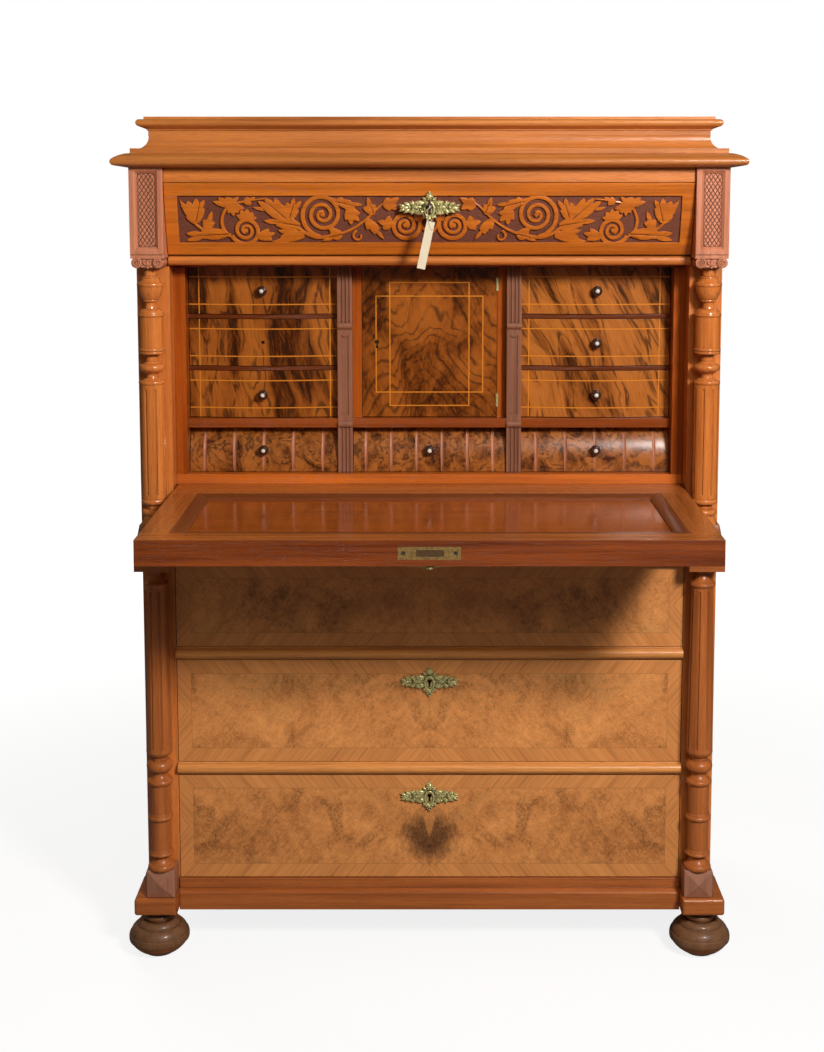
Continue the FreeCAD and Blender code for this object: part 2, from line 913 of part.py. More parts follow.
panel_low = pivot_z - fall_panel_thickness / 2
panel_high = pivot_z + fall_panel_thickness / 2
writing_panel = box(
    -fall_open_half, fall_open_half, fall_open_front, fall_open_back, panel_low, panel_high
)
save("writing_panel", [writing_panel])


def panel_moulding(z_panel, z_face):
    """A mitred quarter-round round the sunk panel, from the panel up to the frame's face."""
    rise = z_face - z_panel
    toe = math.copysign(fall_moulding_toe, rise)
    bend = math.sqrt(1 / 2)
    high_mid = z_panel + toe + (rise - toe) * bend
    width_mid = fall_moulding_width * bend

    def profile(edge, inward):
        return [
            (edge, z_panel),
            (edge + inward * fall_moulding_width, z_panel),
            (edge + inward * fall_moulding_width, z_panel + toe),
            (edge + inward * width_mid, high_mid, edge, z_face),
        ]

    bars = [
        bar_x(profile(fall_open_front, 1), -fall_open_half, fall_open_half),
        bar_x(profile(fall_open_back, -1), -fall_open_half, fall_open_half),
        bar_y(profile(fall_open_half, -1), fall_open_front, fall_open_back),
        bar_y(profile(-fall_open_half, 1), fall_open_front, fall_open_back),
    ]
    return bars[0].multiFuse(bars[1:]).removeSplitter()


save("fall_moulding", [panel_moulding(panel_high, fall_high_z), panel_moulding(panel_low, fall_low_z)])

fall_plate = escutcheon(fall_escutcheon_width, fall_escutcheon_height, 0, escutcheon_thickness, pivot_z)
fall_plate.rotate(V(0, 0, pivot_z), RIGHT, 90)
fall_plate.translate(V(0, fall_front_y + fall_lock_inset, -fall_thickness / 2 - escutcheon_thickness))
save("fall_lock", [edge_plate.cut(screw_holes), fall_lock_body, fall_plate] + fall_screws)

pin = rod(pivot_radius, V(fall_half, pivot_y, pivot_z), RIGHT, fall_side_gap + pivot_reach)
save("fall_pivots", pair(pivot_plate.fuse(pin)))

bush_bore = rod(pivot_radius + pivot_clearance, V(stile_inner, pivot_y, pivot_z), RIGHT, bush_length)
bush = bush_seat.cut(bush_bore)

# Nest: floor, top, linings, partitions, shelves and the posts beside the cupboard door
def bowed_front(x0, x1, y):
    """Points of a serpentine front in plan, hollow at the ends and bowed forward between."""
    half = (x1 - x0) / 2
    middle = (x0 + x1) / 2
    flare = half * (1 - bow_flare_share)
    near = half * (1 - bow_flare_share / 2)
    rise = stack_bow * bow_flare_rise_share
    dip = stack_bow * bow_flare_mid_share
    return [
        (x0, y),
        (middle - near, y - dip, middle - flare, y - rise),
        (middle, y - stack_bow, middle + flare, y - rise),
        (middle + near, y - dip, x1, y),
    ]


nest_case = [
    box(-stile_inner, stile_inner, nest_floor_front, back_inner, nest_floor_z, nest_floor_top),
    box(-stile_inner, stile_inner, stile_depth, back_inner, nest_top_z, nest_top_z + nest_top_thickness),
]
nest_case += pair(box(lining_inner, stile_inner, nest_floor_front, back_inner, nest_floor_top, nest_top_z))
nest_case += pair(
    box(partition_inner, partition_outer, pilaster_back, back_inner, nest_floor_top, nest_top_z)
)
nest_case += pair(
    box(partition_outer, lining_inner, mid_shelf_front, back_inner, mid_shelf_z, mid_shelf_top)
)
nest_case.append(
    box(-partition_inner, partition_inner, mid_shelf_front, back_inner, mid_shelf_z, mid_shelf_top)
)
for row in range(1, stack_row_count):
    shelf_z = mid_shelf_top + row * stack_pitch - stack_shelf_thickness
    front = bowed_front(partition_outer, lining_inner, nest_front - stack_shelf_nose)
    outline = front + [(lining_inner, back_inner), (partition_outer, back_inner)]
    nest_case += pair(bar_z(outline, shelf_z, shelf_z + stack_shelf_thickness))


def hinge_levels():
    """Foot of each door hinge."""
    low = mid_shelf_top + drawer_reveal + hinge_inset
    high = nest_top_z - drawer_reveal - hinge_inset - hinge_height
    return [low, high]


def knuckle_room(z):
    room = knuckle_radius + knuckle_gap
    return rod(room, V(hinge_x, hinge_y, z), UP, hinge_height)


def post_leaf_seat(z):
    return box(post_inner, post_inner + hinge_leaf, hinge_y, hinge_y + hinge_leaf_depth, z, z + hinge_height)


def door_leaf_seat(z):
    return box(door_half - hinge_leaf, door_half, hinge_y, hinge_y + hinge_leaf_depth, z, z + hinge_height)


post = box(post_inner, partition_inner, nest_front, nest_front + post_depth, mid_shelf_top, nest_top_z)
right_post = post
for z in hinge_levels():
    right_post = right_post.cut([knuckle_room(z), post_leaf_seat(z)])
nest_case += [right_post, pair(post)[1]]
save("nest_case", nest_case)

# Inner pilasters: reeded foot and head, two brackets and a sunk panel with scooped ends
upper_bracket_z = mid_shelf_top + (nest_top_z - mid_shelf_top) * upper_bracket_share
shaft_z = mid_shelf_z + bracket_height
head_z = upper_bracket_z + bracket_height
pilaster_outline = [
    (pilaster_back, nest_floor_top),
    (pilaster_front, nest_floor_top),
    (pilaster_front, mid_shelf_z),
    (pilaster_front - bracket_projection, mid_shelf_z + bracket_height / 2, pilaster_front, shaft_z),
    (pilaster_front, upper_bracket_z),
    (pilaster_front - bracket_projection, upper_bracket_z + bracket_height / 2, pilaster_front, head_z),
    (pilaster_front, nest_top_z),
    (pilaster_back, nest_top_z),
]
pilaster = bar_x(pilaster_outline, partition_inner, partition_outer)
pilaster_x = (partition_inner + partition_outer) / 2
reed_pitch = partition_thickness / (pilaster_reed_count + 1)
pilaster_cuts = []
for reed in range(pilaster_reed_count):
    x = partition_inner + reed_pitch * (reed + 1)
    for low, high in ((nest_floor_top, mid_shelf_z), (head_z, nest_top_z)):
        pilaster_cuts.append(rod(pilaster_reed_radius, V(x, pilaster_front, low), UP, high - low))
panel_low_z = shaft_z + pilaster_panel_margin
panel_high_z = upper_bracket_z - pilaster_panel_margin
pilaster_panel = box(
    pilaster_x - pilaster_panel_width / 2,
    pilaster_x + pilaster_panel_width / 2,
    pilaster_front - overrun,
    pilaster_front + pilaster_panel_depth,
    panel_low_z,
    panel_high_z,
)
for z in (panel_low_z, panel_high_z):
    scoop = rod(
        pilaster_panel_width / 2,
        V(pilaster_x, pilaster_front - overrun, z),
        BACK,
        overrun + pilaster_panel_depth + overrun,
    )
    pilaster_panel = pilaster_panel.cut(scoop)
pilaster_cuts.append(pilaster_panel)
save("nest_pilasters", pair(pilaster.cut(pilaster_cuts)))

# Door hinges: three knuckles each, the outer two and the pin fixed to the post
knuckle_height = (hinge_height - 2 * knuckle_gap) / 3
fixed_parts = pair(bush)
door_leaves = []
for z in hinge_levels():
    middle_z = z + knuckle_height + knuckle_gap
    top_z = middle_z + knuckle_height + knuckle_gap
    post_leaf = post_leaf_seat(z)
    door_leaf = door_leaf_seat(z)
    centre = V(hinge_x, hinge_y, 0)
    room = knuckle_radius + knuckle_gap
    middle_low = centre + UP * (middle_z - knuckle_gap)
    middle_room = rod(room, middle_low, UP, knuckle_height + 2 * knuckle_gap)
    end_rooms = []
    for low in (z, top_z - knuckle_gap):
        end_rooms.append(rod(room, centre + UP * low, UP, knuckle_height + knuckle_gap))
    ends = [rod(knuckle_radius, centre + UP * low, UP, knuckle_height) for low in (z, top_z)]
    pin = rod(hinge_pin_radius, centre + UP * z, UP, hinge_height)
    fixed_parts.append(post_leaf.cut(middle_room).multiFuse(ends + [pin]).removeSplitter())
    barrel = rod(knuckle_radius, centre + UP * middle_z, UP, knuckle_height)
    bore = rod(hinge_pin_radius + hinge_pin_clearance, centre + UP * z, UP, hinge_height)
    door_leaves.append(door_leaf.cut(end_rooms).fuse(barrel).cut(bore).removeSplitter())
save("fixed_hinge_parts", fixed_parts)

door = box(
    -door_half,
    door_half,
    nest_front,
    nest_front + door_thickness,
    mid_shelf_top + drawer_reveal,
    nest_top_z - drawer_reveal,
)
door_key_x = door_key_inset - door_half
door_key_z = (mid_shelf_top + nest_top_z) / 2
for z in hinge_levels():
    door = door.cut([knuckle_room(z), door_leaf_seat(z)])
door = door.cut(keyhole(door_key_x, door_key_z, nest_front - overrun, nest_front + door_thickness + overrun))
save("cupboard_door", [door])

door_back = nest_front + door_thickness
door_lock = box(
    -door_half,
    door_lock_width - door_half,
    door_back,
    door_back + door_lock_thickness,
    door_key_z - door_lock_height / 2,
    door_key_z + door_lock_height / 2,
)
save("door_fittings", door_leaves + [door_lock])


# Small drawers of the nest, with turned knobs
knob = turned(knob_shares, knob_length, knob_radius)
knob = knob.fuse(rod(knob_shank_radius, V(0, 0, 0), -UP, knob_shank_length)).removeSplitter()
knob.rotate(V(0, 0, 0), RIGHT, 90)


def knob_hole(x, y, z):
    radius = knob_shank_radius + knob_hole_clearance
    depth = overrun + knob_seat + knob_shank_length + running_gap
    return rod(radius, V(x, y - overrun, z), BACK, depth)


def save_nest_drawer(name, front, x0, x1, z0, z1, knob_y, has_knob):
    """A small drawer: its shaped front, its box and, where it still has one, its knob."""
    y0 = nest_front + nest_front_thickness
    x, z = (x0 + x1) / 2, (z0 + z1) / 2
    hole = knob_hole(x, knob_y, z)
    low = z0 - drawer_reveal + running_gap
    walls = drawer_box(
        x0,
        x1,
        y0,
        back_inner - nest_back_gap,
        low,
        z1 - drawer_bottom_lift,
        nest_side_thickness,
        nest_bottom_thickness,
    )
    bored = front.cut(hole)
    save(f"{name}_drawer", [bored] + walls)
    if has_knob:
        save(f"{name}_knob", [moved(knob, x, knob_y + knob_seat, z).cut(bored)])


stack_x0 = partition_outer + drawer_reveal
stack_x1 = lining_inner - drawer_reveal
front_back = nest_front + nest_front_thickness
row_names = ["lower", "middle", "upper"]
for row in range(stack_row_count):
    z0 = mid_shelf_top + row * stack_pitch + drawer_reveal
    z1 = mid_shelf_top + row * stack_pitch + stack_height - drawer_reveal
    for side, sign in (("left", -1), ("right", 1)):
        x0, x1 = sorted((sign * stack_x0, sign * stack_x1))
        outline = bowed_front(x0, x1, nest_front) + [(x1, front_back), (x0, front_back)]
        has_knob = (side, row) != ("left", 1)
        name = f"{row_names[row]}_{side}"
        save_nest_drawer(name, bar_z(outline, z0, z1), x0, x1, z0, z1, nest_front - stack_bow, has_knob)

base_z0 = nest_floor_top + drawer_reveal
base_z1 = mid_shelf_z - drawer_reveal
base_outline = [
    (front_back, base_z0),
    (base_row_foot, base_z0),
    (base_row_belly, (base_z0 + base_z1) / 2, base_row_head, base_z1),
    (front_back, base_z1),
]


def base_front(x0, x1, flutes):
    """A cushion-fronted drawer face with flutes on a flatter curve, so they run out at both ends."""
    low, high = V(0, base_row_foot, base_z0), V(0, base_row_head, base_z1)
    belly = V(0, base_row_belly, (base_z0 + base_z1) / 2)
    face = Part.Circle(low, belly, high)
    half_turn = math.asin((high - low).Length / 2 / face.Radius) * base_flute_length_share
    slack = base_flute_depth / (1 - math.cos(half_turn))
    inward = (face.Center - belly).normalize()
    radius = (base_flute_width**2 / 4 / base_flute_depth + base_flute_depth) / 2
    sweep = face.Radius + slack + radius - base_flute_depth
    centre = belly + inward * (face.Radius + slack)
    tools = []
    for count in range(flutes):
        x = x0 + (x1 - x0) * (count + 0.5) / flutes
        tools.append(Part.makeTorus(sweep, radius, centre + V(x, 0, 0), RIGHT))
    return bar_x(base_outline, x0, x1).cut(tools)


centre_half = partition_inner - drawer_reveal
base_places = [
    ("base_left", -stack_x1, -stack_x0, base_flute_count),
    ("base_centre", -centre_half, centre_half, centre_flute_count),
    ("base_right", stack_x0, stack_x1, base_flute_count),
]
for name, x0, x1, flutes in base_places:
    save_nest_drawer(name, base_front(x0, x1, flutes), x0, x1, base_z0, base_z1, base_row_belly, True)


# Long drawers; the lower two have a lock case behind their escutcheons
def save_drawer(name, front, z0, z1, y_box):
    """A long drawer's front and the box behind it."""
    walls = drawer_box(
        -drawer_half,
        drawer_half,
        y_box,
        back_inner - drawer_back_gap,
        z0 - drawer_reveal + running_gap,
        z1 - drawer_side_drop,
        drawer_side_thickness,
        drawer_bottom_thickness,
    )
    save(f"{name}_drawer_front", [front])
    save(f"{name}_drawer_box", walls)


long_drawers = [
    ("low", base_top, low_drawer_height, True),
    ("middle", low_rail_top, middle_drawer_height, True),
    ("top", middle_rail_top, top_drawer_height, False),
]
for name, rail_top, height, locked in long_drawers:
    z0 = rail_top + drawer_reveal
    z1 = z0 + height
    lock_z = z1 - lock_drop
    front = box(-drawer_half, drawer_half, 0, drawer_front_thickness, z0, z1)
    if not locked:
        save_drawer(name, front, z0, z1, drawer_front_thickness)
        continue
    front = front.cut(keyhole(0, lock_z, -overrun, drawer_front_thickness + overrun))
    save_drawer(name, front, z0, z1, drawer_front_thickness)
    lock_case = box(
        -lock_width / 2,
        lock_width / 2,
        drawer_front_thickness,
        drawer_front_thickness + lock_thickness,
        z1 - lock_height,
        z1,
    )
    plate = escutcheon(escutcheon_width, escutcheon_height, -escutcheon_thickness, 0, lock_z)
    save(f"{name}_drawer_lock", [plate, lock_case])

# Frieze drawer: a bellied front with a sunk ground for carving, and a lock with its key
frieze_belly = frieze_projection - (frieze_projection - frieze_foot_projection) * frieze_belly_share
frieze_outline = [
    (frieze_back, frieze_drawer_z),
    (-frieze_foot_projection, frieze_drawer_z),
    (
        -frieze_belly,
        (frieze_drawer_z + frieze_drawer_top) / 2,
        -frieze_projection,
        frieze_drawer_top,
    ),
    (frieze_back, frieze_drawer_top),
]
frieze_front = bar_x(frieze_outline, -drawer_half, drawer_half)
carving_z = frieze_drawer_z + carved_panel_lift
ground = box(
    -carved_panel_width / 2,
    carved_panel_width / 2,
    -frieze_projection - overrun,
    0,
    carving_z,
    carving_z + carved_panel_height,
).cut(moved(frieze_front, 0, carved_panel_depth, 0))
key_z = frieze_drawer_top - frieze_lock_drop
frieze_front = frieze_front.cut(ground)
frieze_front = frieze_front.cut(keyhole(0, key_z, -frieze_projection - overrun, frieze_back + overrun))
save_drawer("frieze", frieze_front, frieze_drawer_z, frieze_drawer_top, frieze_back)

plate_front = -frieze_projection - escutcheon_thickness
frieze_plate = escutcheon(escutcheon_width, escutcheon_height, plate_front, 0, key_z).cut(frieze_front)
lock_top = frieze_drawer_top
lock_back = frieze_back + lock_thickness
lock_low = key_z - lock_cavity_radius - lock_wall
lock_case = box(-lock_width / 2, lock_width / 2, frieze_back, lock_back, lock_low, lock_top)
cavity = rod(lock_cavity_radius, V(0, frieze_back + lock_wall, key_z), BACK, lock_thickness - 2 * lock_wall)
bolt_low = lock_top - bolt_drop - bolt_height
bolt_slot = box(
    -bolt_width / 2,
    bolt_width / 2,
    frieze_back + lock_wall,
    lock_back - lock_wall,
    bolt_low - running_gap,
    lock_top + overrun,
)
key_bore = rod(key_radius + key_clearance, V(0, frieze_back, key_z), BACK, lock_thickness)
lock_mouth = keyhole(0, key_z, frieze_back - overrun, frieze_back + lock_wall)
lock_case = lock_case.cut([cavity, bolt_slot, key_bore, lock_mouth])
plate_solids = [solid for solid in frieze_plate.Solids if solid.BoundBox.YMin < -frieze_belly]
save("frieze_drawer_lock", plate_solids + [lock_case])

lock_bolt = box(
    -bolt_width / 2 + running_gap,
    bolt_width / 2 - running_gap,
    frieze_back + lock_wall + running_gap,
    frieze_back + lock_wall + bolt_thickness,
    bolt_low,
    bolt_low + bolt_height,
)
save("lock_bolt", [lock_bolt])

bow_y = plate_front - key_neck - key_bow_radius
collar_y = plate_front - key_collar_length - drawer_reveal
key_tail = bow_y + key_bow_radius
shank = rod(key_radius, V(0, key_tail, key_z), BACK, lock_back - key_tail)
bit = box(
    -key_bit_thickness / 2,
    key_bit_thickness / 2,
    frieze_back + lock_wall + running_gap,
    lock_back - lock_wall - running_gap,
    key_z - key_bit_length,
    key_z,
)
collar = rod(key_collar_radius, V(0, collar_y, key_z), BACK, key_collar_length)
bow = Part.makeTorus(key_bow_radius, key_bow_wire, V(0, bow_y, key_z), RIGHT)
save("key", [shank.multiFuse([bit, collar, bow]).removeSplitter()])

# A blank paper tag on a thread from a loop through the key's bow, hanging down to the left
loop_aim = V(-math.sqrt(1 / 2), 0, -math.sqrt(1 / 2))
loop_normal = V(-math.sqrt(1 / 2), 0, math.sqrt(1 / 2))
bow_front = V(0, bow_y - key_bow_radius, key_z)
loop = Part.makeTorus(tag_loop_radius, tag_wire, bow_front + loop_aim * tag_loop_offset, loop_normal)
loop_low = bow_front + loop_aim * (tag_loop_offset + tag_loop_radius)
hang = loop_low + V(tag_thread_run, 0, -tag_thread_drop)
thread = rod(tag_wire, loop_low, hang - loop_low, (hang - loop_low).Length)
card_y = hang.y + tag_wire + running_gap
tail = rod(tag_wire, hang, BACK, card_y - hang.y + 2 * tag_thickness)
card = box(
    hang.x + tag_hole_inset - tag_width,
    hang.x + tag_hole_inset,
    card_y,
    card_y + tag_thickness,
    hang.z + tag_top_margin - tag_length,
    hang.z + tag_top_margin,
)
card = card.cut(rod(tag_hole_radius, hang, BACK, card_y - hang.y + 2 * tag_thickness))
card.rotate(hang, BACK, tag_slant_deg)
save("key_tag", [loop.multiFuse([thread, tail]), card])
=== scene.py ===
import math
from collections import Counter

import bmesh
import bpy
from mathutils import Matrix, Vector
from mathutils.geometry import delaunay_2d_cdt


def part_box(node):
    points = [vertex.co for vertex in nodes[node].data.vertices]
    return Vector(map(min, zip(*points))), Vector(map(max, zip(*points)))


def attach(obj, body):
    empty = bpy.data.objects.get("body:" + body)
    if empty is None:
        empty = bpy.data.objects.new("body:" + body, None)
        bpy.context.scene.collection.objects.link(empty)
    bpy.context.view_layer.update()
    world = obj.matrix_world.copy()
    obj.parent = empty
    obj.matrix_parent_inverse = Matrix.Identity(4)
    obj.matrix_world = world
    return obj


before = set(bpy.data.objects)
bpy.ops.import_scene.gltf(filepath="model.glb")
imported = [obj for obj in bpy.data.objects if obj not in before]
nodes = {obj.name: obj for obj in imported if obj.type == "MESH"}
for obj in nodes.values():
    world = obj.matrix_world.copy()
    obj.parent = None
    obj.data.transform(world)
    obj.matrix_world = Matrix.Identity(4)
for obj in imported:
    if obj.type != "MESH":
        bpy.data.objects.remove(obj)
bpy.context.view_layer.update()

# Planes of the case, in metres
fall_low, fall_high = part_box("fall_frame")
fall_middle_z = (fall_low.z + fall_high.z) / 2
fall_margin = 0.045
frieze_low, frieze_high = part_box("frieze_drawer_front")
block_low, block_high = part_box("frieze_blocks")
capital_low, capital_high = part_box("capitals")
door_low, door_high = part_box("cupboard_door")
back_low, back_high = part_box("back_boards")
back_board_count = 5
column_x = 0.474
X, Y, Z = 0, 1, 2
MM = 0.001
both_sides = ((-1, "left"), (1, "right"))


def tone(red, green, blue):
    """Linear colour of an 8-bit display colour."""
    return tuple(((value / 255 + 0.055) / 1.055) ** 2.4 for value in (red, green, blue))


def shades(middle, spread):
    """A darker, redder and a lighter, yellower neighbour of a tone, with the tone between them."""
    red, green, blue = middle
    dark = (red * (1 - spread), green * (1 - 1.15 * spread), blue * (1 - 1.25 * spread))
    light = (red * (1 + 0.7 * spread), green * (1 + 0.9 * spread), blue * (1 + spread))
    return dark, middle, light


class Finish:
    """A material, or a world, with short calls for the nodes that it is made of."""

    def __init__(self, name, world=None):
        self.material = world or bpy.data.materials.new(name)
        self.material.use_nodes = True
        self.nodes = self.material.node_tree.nodes
        self.links = self.material.node_tree.links
        self.shader = self.nodes["Background" if world else "Principled BSDF"]
        self.place = self.add("TexCoord").outputs["Object"]

    def add(self, kind, inputs=(), **settings):
        node = self.nodes.new("ShaderNode" + kind)
        for name, value in settings.items():
            setattr(node, name, value)
        for key, value in dict(inputs).items():
            self.put(node.inputs[key], value)
        return node

    def put(self, socket, value):
        if isinstance(value, bpy.types.NodeSocket):
            self.links.new(value, socket)
        elif isinstance(value, tuple) and socket.type == "RGBA":
            socket.default_value = (*value, 1.0)
        else:
            socket.default_value = value

    def set(self, **values):
        """Values of the shader's own sockets, by name with _ for a space."""
        for name, value in values.items():
            self.put(self.shader.inputs[name.replace("_", " ")], value)

    def math(self, operation, *values):
        return self.add("Math", enumerate(values), operation=operation).outputs[0]

    def axes(self):
        return self.add("SeparateXYZ", {0: self.place}).outputs

    def vector(self, x, y, z):
        return self.add("CombineXYZ", {0: x, 1: y, 2: z}).outputs[0]

    def scaled(self, scale, vector=None):
        inputs = {"Vector": vector or self.place, "Scale": scale}
        return self.add("Mapping", inputs).outputs[0]

    def noise(self, vector, scale=1.0, detail=2.0, rough=0.5, distortion=0.0):
        inputs = {"Vector": vector, "Scale": scale, "Detail": detail, "Roughness": rough}
        inputs["Distortion"] = distortion
        return self.add("TexNoise", inputs).outputs[0]

    def cells(self, vector, scale):
        return self.add("TexVoronoi", {"Vector": vector, "Scale": scale}).outputs["Distance"]

    def step(self, value, low, high, to_low=0.0, to_high=1.0):
        inputs = {"Value": value, "From Min": low, "From Max": high, "To Min": to_low, "To Max": to_high}
        return self.add("MapRange", inputs, interpolation_type="SMOOTHSTEP").outputs[0]

    def mix(self, factor, first, second):
        inputs = {0: factor, 6: first, 7: second}
        return self.add("Mix", inputs, data_type="RGBA").outputs[2]

    def ramp(self, value, *stops):
        """Colours between evenly spaced stops."""
        node = self.add("ValToRGB", {"Fac": value})
        elements = node.color_ramp.elements
        for index in range(1, len(stops) - 1):
            elements.new(index / (len(stops) - 1))
        for element, colour in zip(elements, stops):
            element.color = (*colour, 1.0)
        return node.outputs["Color"]

    def blend(self, *parts):
        """A level about one half: each part is a value about one half and its weight."""
        level = 0.5
        for value, weight in parts:
            level = self.linear(self.math("SUBTRACT", value, 0.5), weight, level)
        return level

    def near(self, value, centre, half):
        """1 where a value lies within half of a centre."""
        return self.math("COMPARE", value, centre, half)

    def any(self, *masks):
        total = masks[0]
        for mask in masks[1:]:
            total = self.math("MAXIMUM", total, mask)
        return total

    def times(self, *values):
        """Product of values or masks."""
        total = values[0]
        for value in values[1:]:
            total = self.math("MULTIPLY", total, value)
        return total

    def linear(self, value, factor, start):
        return self.math("MULTIPLY_ADD", value, factor, start)

    def rings(self, vector, count, detail=1.5, distortion=0.4, slope=None):
        """Growth lines: the contours of a soft noise on a slope, from 0 in the dark line to 1."""
        field = self.noise(vector, detail=detail, distortion=distortion)
        if slope is not None:
            field = self.math("ADD", field, slope)
        wave = self.math("SINE", self.times(field, count * math.tau))
        return self.linear(wave, 0.5, 0.5)

    def edge(self, radius):
        """1 on worn edges, 0 on flat faces, with the rounded normal beside it."""
        rounded = self.add("Bevel", {"Radius": radius}, samples=4).outputs[0]
        flat = self.add("NewGeometry").outputs["Normal"]
        dot = self.add("VectorMath", {0: rounded, 1: flat}, operation="DOT_PRODUCT")
        return self.step(dot.outputs["Value"], 0.985, 0.90), rounded

    def hollows(self, reach):
        """1 in hollows narrower than a reach, 0 on open faces."""
        open_sky = self.add("AmbientOcclusion", {"Distance": reach}, samples=4).outputs["AO"]
        return self.step(open_sky, 0.90, 0.45)

    def bump(self, height, depth, normal=None):
        inputs = {"Height": height, "Distance": depth, "Strength": 1.0}
        if normal is not None:
            inputs["Normal"] = normal
        self.put(self.shader.inputs["Normal"], self.add("Bump", inputs).outputs[0])


def times(values, factor):
    """Each value times a factor."""
    return tuple(factor * value for value in values)


def along(grain, cross, length):
    """Scale that stretches a pattern along the grain."""
    return tuple(length if axis == grain else cross for axis in (X, Y, Z))


# Wood finishes
burr_slant = math.radians(38)


def wood(name, grain, middle, spread=0.42, figure=0.16, gloss=0.34, coat=0.2, wear=0.4, dirt=0.0):
    """Straight-grained wood: streaks, growth lines, pores, paler worn edges, and painted shade in narrow
    hollows.
    """
    finish = Finish(name)
    streak = finish.noise(finish.scaled(along(grain, 95, 2.4)), detail=4, rough=0.6)
    fibre = finish.noise(finish.scaled(along(grain, 620, 9)), detail=2)
    pores = finish.step(finish.noise(finish.scaled(along(grain, 1500, 45)), detail=0), 0.60, 0.70)
    growth = finish.rings(finish.scaled(along(grain, 11, 0.55)), 8, detail=1.5, distortion=0.3)
    cloud = finish.noise(finish.scaled(along(grain, 6, 1.8)), detail=2)
    level = finish.blend((streak, 1.3), (fibre, 0.7), (growth, figure), (cloud, 1.0))
    dark, middle, light = shades(tone(*middle), spread)
    colour = finish.ramp(level, dark, middle, light)
    colour = finish.mix(finish.times(pores, 0.35), colour, dark)
    edge, rounded = finish.edge(0.0016)
    worn = finish.times(edge, finish.step(cloud, 0.3, 0.65, 0.0, wear))
    colour = finish.mix(worn, colour, tuple(min(1.0, 1.3 * value + 0.04) for value in light))
    # Painted shade: narrow hollows such as flutes and grooves are darkened by an occlusion measure, standing
    # in for the shade that falls in them.
    if dirt:
        painted_hollow_shade = finish.times(finish.hollows(dirt), 0.75)
        colour = finish.mix(painted_hollow_shade, colour, times(dark, 0.25))
    finish.set(Base_Color=colour, Coat_Weight=coat, Coat_Roughness=0.12, Specular_IOR_Level=0.4)
    finish.set(Roughness=finish.linear(streak, 0.22, gloss - 0.11))
    finish.bump(finish.linear(pores, -1.0, streak), 0.00012, rounded)
    return finish.material


def woods(name, grains, middle, **settings):
    """The same wood with its grain along each of some axes."""
    return {grain: wood(f"{name}_{'xyz'[grain]}", grain, middle, **settings) for grain in grains}


def burr_colour(finish, vector, middle):
    """Mottled burr veneer: soft clouds, slanting streaks, fine curls, and small dark marks in clusters."""
    cloud = finish.noise(vector, 7, detail=4, rough=0.6, distortion=1.0)
    mottle = finish.noise(vector, 42, detail=4, rough=0.64, distortion=1.4)
    turned = finish.add("Mapping", {"Vector": vector, "Rotation": (0.0, burr_slant, 0.0)})
    slanting = finish.scaled((150, 60, 16), turned.outputs[0])
    streak = finish.noise(slanting, detail=4, rough=0.65, distortion=0.9)
    curl = finish.rings(finish.scaled((34, 34, 34), vector), 4, detail=3, distortion=2.2)
    fine = finish.noise(vector, 420, detail=3, rough=0.6)
    level = finish.blend((cloud, 1.7), (mottle, 0.85), (streak, 0.6), (curl, 0.15), (fine, 0.9))
    dark, middle, light = shades(middle, 0.42)
    colour = finish.ramp(level, dark, middle, light)
    olive = finish.step(finish.noise(vector, 5, detail=3, distortion=0.8), 0.52, 0.72, 0.0, 0.4)
    colour = finish.mix(olive, colour, (0.62 * middle[0], 0.92 * middle[1], 1.05 * middle[2]))
    cluster = finish.step(finish.noise(vector, 11, detail=3, distortion=1.0), 0.50, 0.64)
    colour = finish.mix(finish.times(cluster, 0.32), colour, times(dark, 0.8))
    eyes = finish.step(finish.noise(vector, 150, detail=3, rough=0.7, distortion=0.9), 0.50, 0.66)
    spot = finish.step(finish.noise(vector, 60, detail=5, rough=0.7, distortion=1.2), 0.60, 0.70)
    vein = finish.noise(finish.scaled((40, 40, 16), vector), detail=4, distortion=1.6)
    thin = finish.any(eyes, finish.step(vein, 0.62, 0.74), finish.step(curl, 0.24, 0.02))
    marks = finish.times(cluster, finish.any(spot, finish.times(thin, 0.6)))
    return finish.mix(finish.times(marks, 0.8), colour, times(dark, 0.25)), cloud


